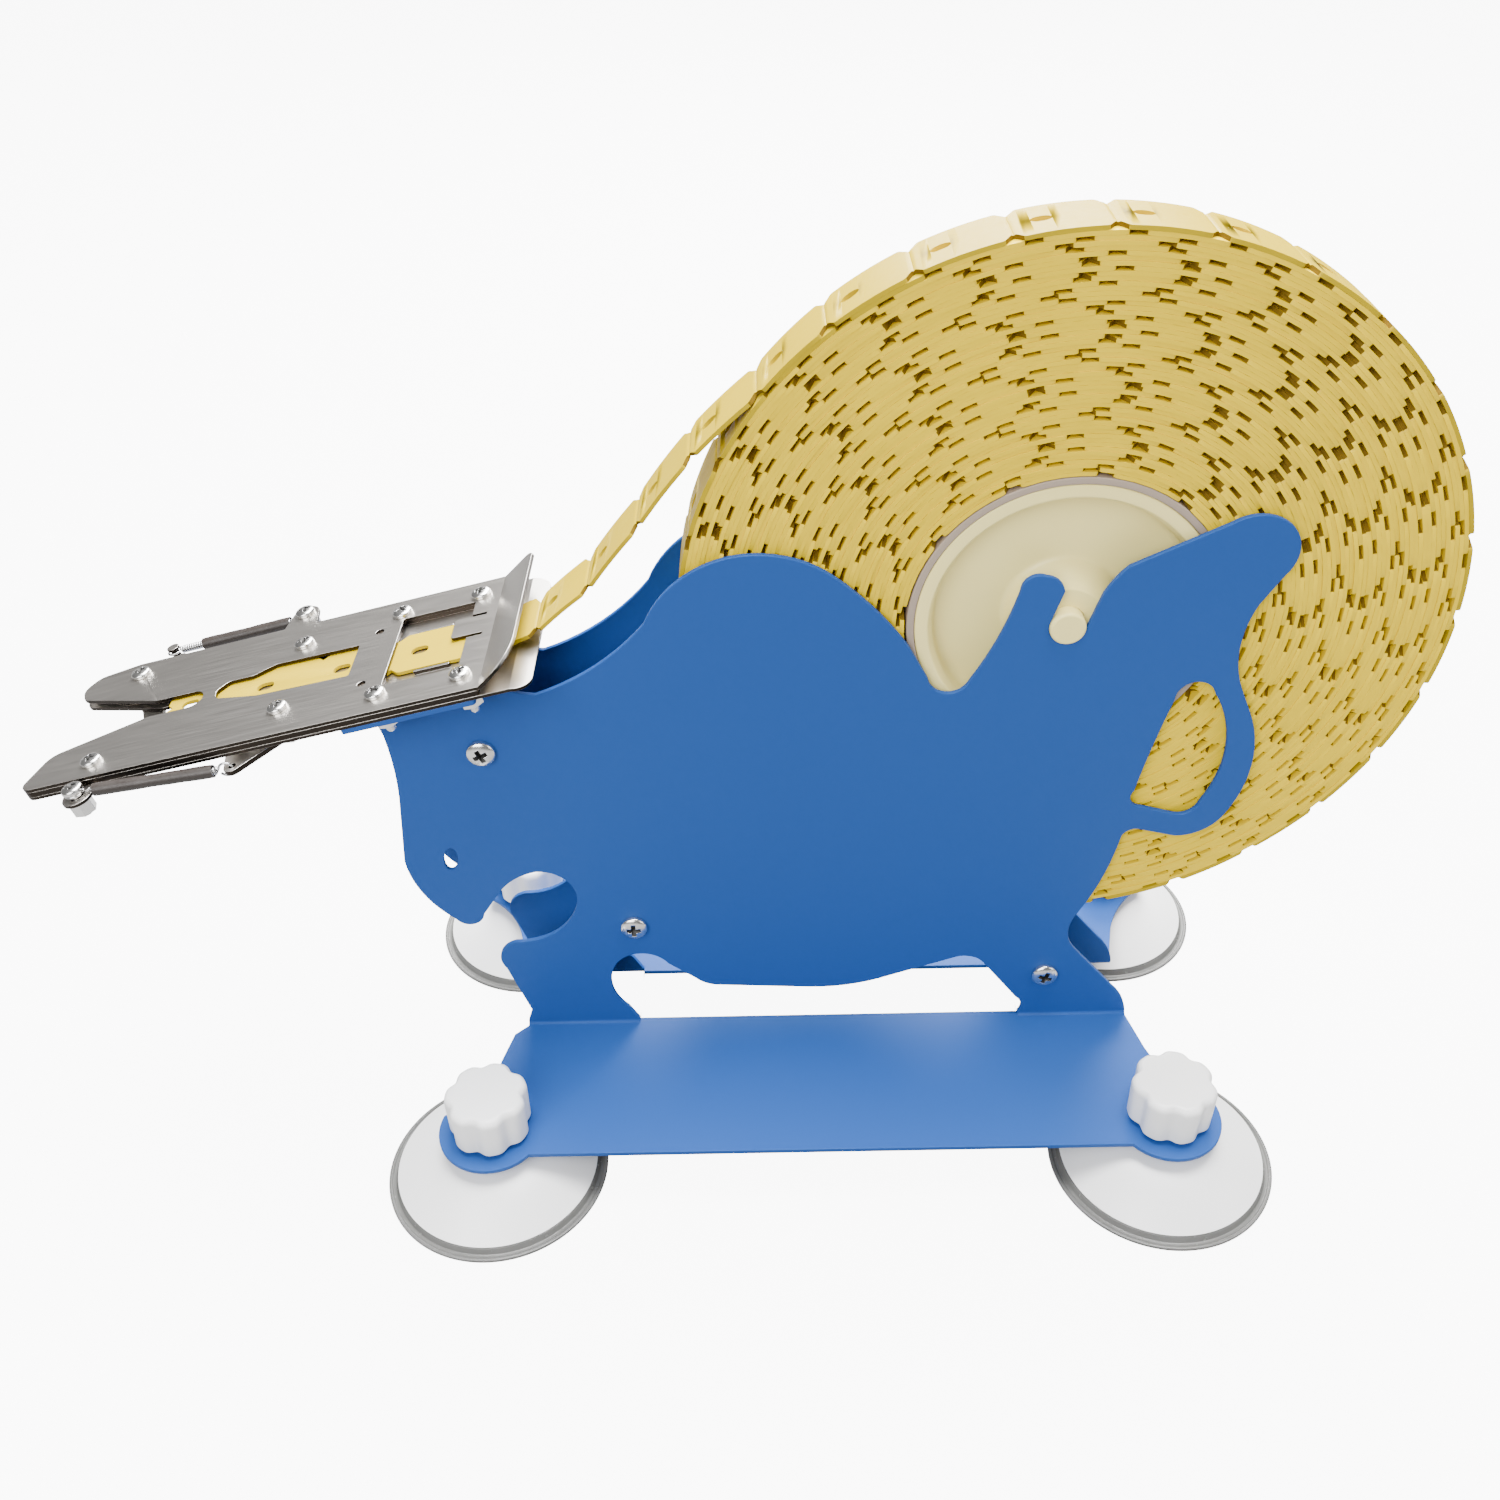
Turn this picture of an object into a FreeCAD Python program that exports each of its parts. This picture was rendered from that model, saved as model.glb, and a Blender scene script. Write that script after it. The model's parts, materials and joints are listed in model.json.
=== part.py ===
import FreeCAD, Part

import math
import os

V = FreeCAD.Vector

# Bench-top bag-neck tie machine. Millimetres, +X from nose to reel, +Y away, +Z up.
# z = 0 is the bench under the suction cups and y = 0 is the middle plane of the strip.

# Frame of two bent sheets
SHEET = 1.5                  # thickness of the side plates and the head bracket
FLANGE_TOP = 18.8            # height of the foot flanges
BEND_R = 1.0                 # inside radius of the bend between leg and flange
FLANGE_EDGE_Y = 61.9         # straight outer edge of a flange

# Feet
FOOT_X = 99.1
FOOT_Y = 52.0
EAR_R = 15.5
CUP_R = 32.8                 # rim of the soft lip
SHELL_R = 29.8
SHELL_RIM_Z = 2.6
SHELL_WALL = 2.0
STUD_R = 2.5
KNOB_R = 12.1
KNOB_H = 15.8
KNOB_NECK_R = 8.0
KNOB_NECK_H = 1.3
KNOB_LOBES = 7
KNOB_LIFT = 0.1              # running gap under a knob
RUN_FIT = 0.05               # radial clearance of a turning fit
HOLE_FIT = 0.25              # radial clearance of a hole around a screw or stud

# Reel
AXLE_X = 61.3
AXLE_Z = 162.7
AXLE_R = 4.7
AXLE_PROUD = 1.0             # how far each end stands out of its side plate
SLOT_FIT = 0.1
SLOT_LEAN = 16.8             # degrees the axle slot leans from upright
HORN_RISE = 9.75             # height of the slot's front wall
ROLL_R = 99.5
LEAVE_ANGLE = 141.1          # where the strip leaves the roll, from +X towards +Z
TIE_W = 18.0
TIE_T = 1.0
TIE_PITCH = 22.5
TIE_HOLE_AT = 7.0            # middle of a tie's neck hole, from its front joint
CORE_OUT_R = 41.0
CORE_IN_R = 39.0
HUB_FIT = 0.1                # radial clearance of the hub in the core
HUB_DISH_R = 34.3
HUB_WEB = 2.0
HUB_INSET = 0.2              # how far each hub face lies behind the edge of the ties
BOSS_FOOT_R = 15.5
BOSS_TOP_R = 10.0
ROLL_CLEAR = 1.05            # clear space on each side of the roll

# Head: a stack of plates, tilted, measured from its bend line toward the nose
TILT = 13.8
BEND_X = -87.69
BEND_Z = 158.94
HEAD_HALF_W = 27.0
FAR_NOSE = 128.6             # tip of the far prong
NEAR_NOSE = 130.2            # tip of the near prong
PLATE_T = 1.0
CHANNEL_H = 1.6
CHANNEL_FIT = 0.4            # clearance on each side of the ties in the channel
SLOT_W = 7.5
SLOT_END = 84.6              # round inner end of the bag slot
LIP_BACK = 12.4              # how far the lower plate reaches behind the bend line
LIP_CREASE = 7.0             # where the lower plate starts to turn down
FLARE_H = 8.8
FLARE_ANGLE = 45.0
BRACKET_START = 2.8
BRACKET_END = 39.4
BRACKET_HALF_W = 27.0
TIE_TIP = 96.0               # front end of the first tie

# Fasteners
M3_R = 1.5
M3_HEAD_R = 2.8
M3_HEAD_H = 1.8
M3_NUT_FLATS = 5.5
M3_NUT_H = 2.4
LOCK_NUT_H = 4.0
STUB = 0.9                   # how far a screw passes its nut
LONG_STUB = 2.2
M4_R = 2.0
M4_HEAD_R = 4.0
M4_HEAD_H = 2.4
SPACER_R = 4.0
FRAME_SCREWS = [(-93.6, 126.7), (-56.7, 60.3), (67.9, 37.0)]

# Levers and springs
LEVER_T = 1.5
LEVER_GAP = 0.4              # clear space between the lower plate and the gate lever
INDEX_DROP = 1.2             # how much lower the index lever lies
BUSH_R = 2.6
WIRE_R = 0.4
COIL_R = 1.2
SLEEVE_R = 1.75
SLEEVE_FIT = 0.15
COIL_START = 5.2             # from the middle of a post to the first turn of its spring
HOOK_PIN_R = 1.2
PIN_COLLAR_R = 1.8           # collar that keeps the spring ring on its pin
PIN_COLLAR_H = 0.7
LOOP_GAP = 0.2

# Worked out
INSIDE_GAP = TIE_W + 2 * ROLL_CLEAR
PLATE_OUT_Y = INSIDE_GAP / 2 + SHEET
HUB_RIM_R = CORE_IN_R - HUB_FIT
HUB_HALF_W = TIE_W / 2 - HUB_INSET
CHANNEL_HALF_W = TIE_W / 2 + CHANNEL_FIT
STACK_TOP_PLATE = -PLATE_T
STACK_CHANNEL = STACK_TOP_PLATE - CHANNEL_H
STACK_LOWER = STACK_CHANNEL - PLATE_T
STACK_BRACKET = STACK_LOWER - SHEET
GATE_TOP = STACK_LOWER - LEVER_GAP
GATE_LOW = GATE_TOP - LEVER_T
INDEX_TOP = GATE_TOP - INDEX_DROP
INDEX_LOW = INDEX_TOP - LEVER_T
STRIP_MID = STACK_CHANNEL + 0.3 + TIE_T / 2
GATE_LOOP_UP = STACK_TOP_PLATE - LOOP_GAP - WIRE_R
GATE_PIN_TOP = GATE_LOOP_UP + WIRE_R + 2 * LOOP_GAP + PIN_COLLAR_H

GATE_PIVOT = (110.3, 20.4)
INDEX_PIVOT = (58.0, -15.3)
FAR_CLAMP = (58.0, 15.3)
NEAR_CLAMP = (110.3, -20.4)
BRACKET_CLAMPS = [(6.2, -19.5), (6.2, 19.5), (29.5, -19.5), (29.5, 19.5)]
GATE_POST = (62.5, 33.4)
INDEX_POST = (112.0, -31.0)
GATE_HOOK = (105.0, 33.0)
INDEX_HOOK = (69.5, -29.3)
PAWL_TIP = (TIE_TIP - TIE_PITCH, -CHANNEL_HALF_W)
GATE_TIP = (100.0, -5.0)
EAR_TAB_R = 4.0


# ---------------------------------------------------------------- helpers

def path_face(start, steps):
    """Face in the XY plane; a step is (x, y) for a line or (mx, my, x, y) for an arc."""
    edges = []
    here = V(start[0], start[1], 0)
    for step in steps:
        there = V(step[-2], step[-1], 0)
        if len(step) == 2:
            edges.append(Part.makeLine(here, there))
        else:
            edges.append(Part.Arc(here, V(step[0], step[1], 0), there).toShape())
        here = there
    if here.distanceToPoint(V(start[0], start[1], 0)) > 1e-6:
        edges.append(Part.makeLine(here, V(start[0], start[1], 0)))
    return Part.Face(Part.Wire(edges))


def rounded(corners):
    """Face in the XY plane from (x, y, radius) corners."""
    steps = []
    count = len(corners)
    for i, (x, y, r) in enumerate(corners):
        here = V(x, y, 0)
        back = (V(*corners[i - 1][:2], 0) - here).normalize()
        ahead = (V(*corners[(i + 1) % count][:2], 0) - here).normalize()
        if r == 0:
            steps.append((x, y))
            continue
        half = back.getAngle(ahead) / 2
        reach = r / math.tan(half)
        middle = here + (back + ahead).normalize() * (r / math.sin(half) - r)
        first = here + back * reach
        last = here + ahead * reach
        steps.append((first.x, first.y))
        steps.append((middle.x, middle.y, last.x, last.y))
    start = steps[-1][-2:]
    if len(steps[0]) == 2 and math.dist(start, steps[0]) < 1e-6:
        steps = steps[1:]
    return path_face(start, steps)


def link_bar(a, ra, b, rb):
    """Face around two round ends joined by their outer tangent lines."""
    run = V(b[0] - a[0], b[1] - a[1], 0)
    lean = math.acos((ra - rb) / run.Length)
    heading = math.atan2(run.y, run.x)

    def rim(centre, radius, angle):
        return (centre[0] + radius * math.cos(angle), centre[1] + radius * math.sin(angle))

    return path_face(rim(a, ra, heading + lean), [
        rim(b, rb, heading + lean),
        rim(b, rb, heading) + rim(b, rb, heading - lean),
        rim(a, ra, heading - lean),
        rim(a, ra, heading + math.pi) + rim(a, ra, heading + lean)])


def upright(face, y_from, y_to):
    """Extrude an outline drawn as (x, z) from y_from to y_to."""
    turned = face.copy()
    turned.rotate(V(0, 0, 0), V(1, 0, 0), 90)
    turned.translate(V(0, y_from, 0))
    return turned.extrude(V(0, y_to - y_from, 0))


def slab(face, low, high):
    """Extrude an outline drawn as (x, y) between two heights."""
    lifted = face.copy()
    lifted.translate(V(0, 0, low))
    return lifted.extrude(V(0, 0, high - low))


def fused(solids):
    """Join touching solids into one."""
    return solids[0].fuse(solids[1:]).removeSplitter()


def rod(radius, low, high, at=(0, 0)):
    """Upright cylinder."""
    return Part.makeCylinder(radius, high - low, V(at[0], at[1], low))


def cross_rod(radius, y_from, y_to, x, z):
    """Cylinder along Y."""
    return Part.makeCylinder(radius, y_to - y_from, V(x, y_from, z), V(0, 1, 0))


def turned_profile(points):
    """Solid turned about Z from (radius, z) points."""
    loop = [V(r, 0, z) for r, z in points]
    wire = Part.makePolygon(loop + [loop[0]])
    return Part.Face(wire).revolve(V(0, 0, 0), V(0, 0, 1), 360)


def to_head(shape):
    """Place a shape drawn as (toward nose, y, up) on the tilted head."""
    placed = shape.copy()
    placed.rotate(V(0, 0, 0), V(0, 0, 1), 180)
    placed = placed.mirror(V(0, 0, 0), V(0, 1, 0))
    placed.rotate(V(0, 0, 0), V(0, 1, 0), -TILT)
    placed.translate(V(BEND_X, 0, BEND_Z))
    return placed


def head_point(along, y, up):
    """Place of a point given as (toward nose, y, up)."""
    lean = math.radians(TILT)
    x = BEND_X - along * math.cos(lean) - up * math.sin(lean)
    z = BEND_Z - along * math.sin(lean) + up * math.cos(lean)
    return V(x, y, z)


nodes = {}


def add(name, solids):
    """Keep one node for export."""
    nodes[name] = solids[0] if len(solids) == 1 else Part.makeCompound(solids)


def export_all():
    """Write every node, moved so that the middle of the overall length is at x = 0."""
    first = min(shape.BoundBox.XMin for shape in nodes.values())
    last = max(shape.BoundBox.XMax for shape in nodes.values())
    for name, shape in nodes.items():
        shape.translate(V(-(first + last) / 2, 0, 0))
        shape.exportStep("parts/" + name + ".step")


# ---------------------------------------------------------------- frame

def bull_outline():
    """Outline of a side plate above the flange, as (x, z)."""
    foot = FLANGE_TOP + BEND_R
    lean = math.radians(SLOT_LEAN)
    slot_r = AXLE_R + SLOT_FIT
    slot_left = (AXLE_X - slot_r * math.cos(lean), AXLE_Z + slot_r * math.sin(lean))
    slot_low = (AXLE_X - slot_r * math.sin(lean), AXLE_Z - slot_r * math.cos(lean))
    slot_right = (AXLE_X + slot_r * math.cos(lean), AXLE_Z - slot_r * math.sin(lean))
    rise = 11.5
    slot_mouth = (slot_right[0] + rise * math.sin(lean), slot_right[1] + rise * math.cos(lean))
    horn = (slot_left[0] + HORN_RISE * math.sin(lean), slot_left[1] + HORN_RISE * math.cos(lean))
    under = [head_point(BRACKET_START + 4, 0, STACK_BRACKET), head_point(37.2, 0, STACK_BRACKET)]
    steps = [
        (-91.2, 24.6),
        (-96.9, 43.5),
        (-96.7, 51.8, -92.6, 54.4),
        (-79.0, 59.3, -72.9, 70.0),
        (-75.4, 79.2, -83.5, 82.6),
        (-90.4, 79.7, -95.3, 74.6),
        (-100.8, 66.2),
        (-104.6, 62.2, -109.3, 64.4),
        (-117.6, 75.0, -121.0, 87.5),
        (-119.0, 107.0),
        (-118.3, 119.5, -119.3, 132.8),
        (under[1].x, under[1].z),
        (under[0].x, under[0].z),
        (-84.6, 146.7, -77.0, 145.0),
        (-60.6, 153.5, -47.0, 166.2),
        (-38.5, 178.0, -24.4, 185.1),
        (-11.4, 184.9, 1.4, 178.9),
        (12.2, 168.9, 21.1, 157.5),
        (26.4, 147.6),
        (31.4, 142.8, 37.2, 146.3),
        (43.4, 158.6, 48.3, 173.6),
        (50.4, 177.5, 54.6, 177.8),
        (57.6, 176.6) + horn,
        slot_left,
        slot_low + slot_right,
        slot_mouth,
        (71.7, 176.6, 74.8, 180.2),
        (98.2, 191.6),
        (106.2, 193.7, 112.9, 190.9),
        (116.2, 184.6, 113.9, 176.8),
        (109.0, 168.4),
        (106.5, 155.6, 109.4, 142.4),
        (112.9, 134.8),
        (116.7, 117.6, 112.3, 99.6),
        (106.9, 93.7, 99.4, 91.8),
        (88.6, 94.6),
        (85.8, 93.9, 84.2, 91.1),
        (80.5, 74.8, 74.6, 60.6),
        (73.4, 54.0, 76.4, 46.8),
        (89.9, 30.2),
        (93.2, 25.5, 95.0, foot),
        (61.2, foot),
        (62.0, 23.0, 60.0, 26.6),
        (49.4, 41.2),
        (45.4, 44.6, 39.6, 44.4),
        (20.5, 37.2),
        (8.6, 33.6, -4.0, 32.7),
        (-33.0, 34.4),
        (-36.4, 35.4, -39.3, 37.6),
        (-47.4, 44.2),
        (-56.0, 48.6, -63.3, 44.3),
        (-65.2, 35.6, -60.6, 25.2),
        (-57.6, foot),
    ]
    return path_face((-92.8, foot), steps)


def tail_window():
    """Opening inside the tail."""
    steps = [
        (97.6, 145.0, 102.6, 141.2),
        (108.7, 120.6, 104.6, 103.9),
        (102.0, 100.3, 97.6, 99.9),
        (88.4, 102.6),
        (85.4, 104.6, 85.7, 108.6),
        (88.7, 124.6, 92.2, 139.5),
    ]
    return path_face((92.2, 139.5), steps)


def eye_window():
    """Slanted oval eye."""
    oval = Part.Ellipse(V(0, 0, 0), 4.2, 2.0)
    eye = Part.Face(Part.Wire(oval.toShape()))
    eye.rotate(V(0, 0, 0), V(0, 0, 1), 82)
    eye.translate(V(-107.5, 88.1, 0))
    return eye


def flange_outline():
    """Plan of a foot flange on the +Y side."""
    root = PLATE_OUT_Y + BEND_R
    inner_edge = INSIDE_GAP / 2
    drop = FLANGE_EDGE_Y - FOOT_Y
    inner = FOOT_X - math.sqrt(EAR_R ** 2 - drop ** 2)
    neck = (FOOT_X + EAR_R * math.cos(math.radians(-17)), FOOT_Y + EAR_R * math.sin(math.radians(-17)))
    low = (FOOT_X + EAR_R * math.cos(math.radians(50)), FOOT_Y + EAR_R * math.sin(math.radians(50)))
    half = [
        (-57.6, root),
        (-57.6, inner_edge),
        (61.2, inner_edge),
        (61.2, root),
        (95.0, root),
        (98.2, 26.0),
        (104.6, 38.6) + neck,
        low + (inner, FLANGE_EDGE_Y),
    ]
    left = [
        (-inner, FLANGE_EDGE_Y),
        (-low[0], low[1], -neck[0], neck[1]),
        (-104.6, 38.6, -99.4, 26.0),
        (-96.8, root + 3.6),
    ]
    return path_face((-92.8, root), half + left)


def side_plate(side):
    """Bull-shaped side plate with its foot flange; side is 1 for far, -1 for near."""
    inner_y = INSIDE_GAP / 2
    wall = upright(bull_outline(), inner_y, PLATE_OUT_Y)
    cuts = [upright(tail_window(), inner_y - 1, PLATE_OUT_Y + 1)]
    cuts.append(upright(eye_window(), inner_y - 1, PLATE_OUT_Y + 1))
    for x, z in FRAME_SCREWS:
        cuts.append(cross_rod(M4_R + HOLE_FIT, inner_y - 1, PLATE_OUT_Y + 1, x, z))
    wall = wall.cut(cuts)
    flange = slab(flange_outline(), FLANGE_TOP - SHEET, FLANGE_TOP)
    holes = []
    for x in (-FOOT_X, FOOT_X):
        holes.append(rod(STUD_R + HOLE_FIT, 0, 40, (x, FOOT_Y)))
    flange = flange.cut(holes)
    bend_y = PLATE_OUT_Y + BEND_R
    bend_z = FLANGE_TOP + BEND_R
    bends = []
    for x_from, x_to in ((-92.8, -57.6), (61.2, 95.0)):
        ring = Part.makeCylinder(BEND_R + SHEET, x_to - x_from, V(x_from, bend_y, bend_z), V(1, 0, 0))
        ring = ring.cut(Part.makeCylinder(BEND_R, x_to - x_from, V(x_from, bend_y, bend_z), V(1, 0, 0)))
        corner = Part.makeBox(x_to - x_from, BEND_R + SHEET, BEND_R + SHEET,
                              V(x_from, inner_y, FLANGE_TOP - SHEET))
        bends.append(ring.common(corner))
    plate = wall.fuse(bends + [flange]).removeSplitter()
    if side < 0:
        plate = plate.mirror(V(0, 0, 0), V(0, 1, 0))
    return plate


def head_bracket():
    """Blue bracket: a shelf under the head with two legs between the side plates."""
    shelf = slab(rounded([
        (BRACKET_START, -BRACKET_HALF_W, 1), (BRACKET_END, -BRACKET_HALF_W, 1),
        (BRACKET_END, BRACKET_HALF_W, 1), (BRACKET_START, BRACKET_HALF_W, 1)]), STACK_BRACKET, STACK_LOWER)
    shelf = shelf.cut([rod(M3_R + HOLE_FIT, -20, 5, at) for at in BRACKET_CLAMPS])
    shelf = to_head(shelf)
    screw_x, screw_z = FRAME_SCREWS[0]
    rear = head_point(BRACKET_START + 3, 0, STACK_BRACKET)
    front = head_point(BRACKET_END - 6, 0, STACK_BRACKET)
    outline = rounded([(rear.x, rear.z, 0), (screw_x + 8, screw_z - 8, 7),
                       (screw_x - 8, screw_z - 8, 7), (front.x, front.z, 0)])
    legs = []
    outer = INSIDE_GAP / 2
    for y_from in (-outer, outer - SHEET):
        leg = upright(outline, y_from, y_from + SHEET)
        legs.append(leg.cut(cross_rod(M4_R + HOLE_FIT, -20, 20, screw_x, screw_z)))
    return shelf.fuse(legs).removeSplitter()


def spacer_tubes():
    """Threaded spacers that hold the side plates apart."""
    tubes = []
    for index, (x, z) in enumerate(FRAME_SCREWS):
        half = INSIDE_GAP / 2 - (SHEET if index == 0 else 0)
        tube = cross_rod(SPACER_R, -half, half, x, z)
        tubes.append(tube.cut(cross_rod(M4_R, -half, half, x, z)))
    return tubes


def pan_screw(radius, head_r, head_h, length):
    """Cross-recess pan screw, head underside at z = 0, shank down."""
    edge = head_h * 0.35
    head = turned_profile([(0, 0), (head_r, 0), (head_r, edge), (head_r * 0.82, head_h * 0.82),
                           (head_r * 0.5, head_h), (0, head_h)])
    arm = head_r * 0.62
    width = head_r * 0.22
    depth = head_h * 0.5
    recess = []
    for turn in (20, 110):
        blade = Part.makeBox(2 * arm, width, head_h, V(-arm, -width / 2, head_h - depth))
        blade.rotate(V(0, 0, 0), V(0, 0, 1), turn)
        recess.append(blade)
    head = head.cut(recess)
    return head.fuse(rod(radius, -length, 0)).removeSplitter()


def frame_screws(side):
    """The three screws of one side plate."""
    screws = []
    for index, (x, z) in enumerate(FRAME_SCREWS):
        screw = pan_screw(M4_R, M4_HEAD_R, M4_HEAD_H, SHEET + 6 + (SHEET if index == 0 else 0))
        screw.rotate(V(0, 0, 0), V(1, 0, 0), -90 * side)
        screw.translate(V(x, side * PLATE_OUT_Y, z))
        screws.append(screw)
    return screws


# ---------------------------------------------------------------- feet

def foot_places():
    """Centres of the four suction feet."""
    return [(x, y) for x in (-FOOT_X, FOOT_X) for y in (-FOOT_Y, FOOT_Y)]


def at_feet(shape):
    """One copy of a shape at each foot."""
    copies = []
    for x, y in foot_places():
        copy = shape.copy()
        copy.translate(V(x, y, 0))
        copies.append(copy)
    return copies


def foot_shell():
    """Hard dome over a suction cup."""
    neck = 9.0
    top = FLANGE_TOP - SHEET
    shoulder = 12.6
    bore = STUD_R + HOLE_FIT
    dome = turned_profile([
        (bore, top), (neck, top), (neck, shoulder + 0.8), (17.5, 11.2), (24.0, 7.9), (28.2, 4.9),
        (SHELL_R, SHELL_RIM_Z), (SHELL_R - SHELL_WALL, SHELL_RIM_Z), (26.4, 4.1), (22.8, 6.4),
        (16.8, 9.3), (neck, 10.8), (bore, 10.8)])
    return dome


def foot_lip():
    """Soft suction disc under the dome."""
    return turned_profile([
        (0, 5.2), (6.0, 5.0), (CUP_R - 1.2, 0), (CUP_R, 0), (CUP_R, 1.1), (30.6, SHELL_RIM_Z),
        (SHELL_R - SHELL_WALL - 1, SHELL_RIM_Z), (7.0, 7.6), (0, 7.6)])


def foot_stud():
    """Threaded stud on a plate set into the soft disc."""
    top = FLANGE_TOP + KNOB_LIFT + KNOB_H - 3
    return rod(6.0, 7.6, 9.0).fuse(rod(STUD_R, 9.0, top)).removeSplitter()


def foot_knob():
    """Lobed hand nut."""
    low = FLANGE_TOP + KNOB_LIFT
    high = low + KNOB_H
    skirt = low + KNOB_NECK_H
    body = turned_profile([(0, low), (KNOB_NECK_R, low), (KNOB_NECK_R, skirt), (KNOB_R - 0.6, skirt),
                           (KNOB_R, skirt + 0.6), (KNOB_R, high - 2.6), (KNOB_R - 0.9, high - 0.9),
                           (KNOB_R - 3.0, high), (0, high)])
    valleys = []
    for lobe in range(KNOB_LOBES):
        angle = 2 * math.pi * lobe / KNOB_LOBES
        centre = ((KNOB_R + 1.1) * math.cos(angle), (KNOB_R + 1.1) * math.sin(angle))
        valleys.append(rod(3.1, skirt - 1, high + 1, centre))
    body = body.cut(valleys)
    return body.cut(rod(STUD_R + RUN_FIT, low - 1, high - 2.6))


# ---------------------------------------------------------------- reel

def ring(outer, inner, half_w):
    """Ring about the axle line."""
    body = cross_rod(outer, -half_w, half_w, AXLE_X, AXLE_Z)
    return body.cut(cross_rod(inner, -half_w, half_w, AXLE_X, AXLE_Z))


def hub_half(side):
    """Moulded hub half: rim, dished web and tapered boss."""
    bore = AXLE_R + RUN_FIT
    half = turned_profile([
        (bore, 0), (HUB_RIM_R, 0), (HUB_RIM_R, HUB_HALF_W), (HUB_DISH_R, HUB_HALF_W),
        (HUB_DISH_R - 1.2, HUB_WEB + 1.0), (HUB_DISH_R - 3.0, HUB_WEB), (BOSS_FOOT_R, HUB_WEB),
        (BOSS_TOP_R, HUB_HALF_W), (bore, HUB_HALF_W)])
    half.rotate(V(0, 0, 0), V(1, 0, 0), -90 * side)
    half.translate(V(AXLE_X, 0, AXLE_Z))
    return half


def axle_rod():
    """Plain axle that drops into the two open slots."""
    reach = PLATE_OUT_Y + AXLE_PROUD
    rod_body = turned_profile([(0, -reach), (AXLE_R - 0.5, -reach), (AXLE_R, -reach + 0.5),
                               (AXLE_R, reach - 0.5), (AXLE_R - 0.5, reach), (0, reach)])
    rod_body.rotate(V(0, 0, 0), V(1, 0, 0), 90)
    rod_body.translate(V(AXLE_X, 0, AXLE_Z))
    return rod_body


# ---------------------------------------------------------------- head

def far_nose():
    """Corners of the far prong's tip, from its outer edge to the bag slot."""
    return [(113.0, HEAD_HALF_W, 6), (FAR_NOSE - 3.6, 24.5, 5), (FAR_NOSE - 0.2, 19.0, 5),
            (FAR_NOSE - 2.6, 13.4, 3.4)]


def near_nose():
    """Corners of the near prong's tip, from the bag slot to its outer edge."""
    return [(NEAR_NOSE - 4.6, -12.7, 6), (NEAR_NOSE, -HEAD_HALF_W, 3)]


def head_plate(rear, low, high, ear):
    """Forked head plate from a rear edge to the nose, with one ear for a spring post."""
    half_slot = SLOT_W / 2
    far = [(rear, HEAD_HALF_W, 0)] + far_nose()
    far += [(100.0, half_slot, 4), (SLOT_END, half_slot, half_slot - 0.01)]
    near = [(SLOT_END, -half_slot, half_slot - 0.01), (100.0, -half_slot, 4)]
    near += near_nose() + [(rear, -HEAD_HALF_W, 0)]
    root = (ear[0], math.copysign(HEAD_HALF_W - EAR_TAB_R - 3, ear[1]))
    tab = slab(link_bar(root, EAR_TAB_R + 2, ear, EAR_TAB_R), low, high)
    return slab(rounded(far + near), low, high).fuse(tab).removeSplitter()


def bored(shape, places, radius=M3_R + HOLE_FIT):
    """Cut an upright hole at each place."""
    return shape.cut([rod(radius, -20, 5, at) for at in places])


def plate_holes():
    """Places where screws pass through both head plates."""
    return BRACKET_CLAMPS + [GATE_PIVOT, INDEX_PIVOT, FAR_CLAMP, NEAR_CLAMP]


def square_window(margin):
    """Outline of the square window, wider on all sides by a margin."""
    rear, front = 7.5 - margin, 28.7 + margin
    near, far = -15.5 - margin, 16.5 + margin
    return rounded([(rear, near, 0.6), (front, near, 0.6), (front, far, 0.6), (rear, far, 0.6)])


def head_top_plate():
    """Top plate with its windows, sprung tongue and raised flare."""
    plate = head_plate(0, STACK_TOP_PLATE, 0, GATE_POST)
    long_window = rounded([(40, -6.8, 0.8), (40, 7.8, 0.8), (64.7, 8.3, 2), (71, 5, 3), (78, 5, 2),
                           (81, 1.5, 2), (80, -2.4, 2), (67, -5.8, 4)])
    tongue_cut = rounded([(3.2, -1.4, 0.3), (8.5, -1.4, 0), (8.5, 9.8, 0), (3.2, 9.8, 0.3)])
    tongue = rounded([(2.0, -0.2, 0), (12.2, -0.2, 0.9), (12.2, 8.6, 0.9), (2.0, 8.6, 0)])
    opened = plate.cut([slab(w, -3, 1) for w in (long_window, square_window(0), tongue_cut)])
    opened = opened.fuse(slab(tongue, STACK_TOP_PLATE, 0))
    small = [rod(1.2, -3, 1, (35, y)) for y in (-12.5, 12.5)]
    opened = bored(opened.cut(small), plate_holes() + [GATE_POST])
    length = FLARE_H / math.sin(math.radians(FLARE_ANGLE))
    lip = slab(rounded([(0, -HEAD_HALF_W, 0), (0, HEAD_HALF_W, 0), (-length, HEAD_HALF_W, 3.5),
                        (-length, -HEAD_HALF_W, 10)]), STACK_TOP_PLATE, 0)
    lip.rotate(V(0, 0, STACK_TOP_PLATE), V(0, 1, 0), FLARE_ANGLE - TILT)
    return opened.fuse(lip).removeSplitter()


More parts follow.
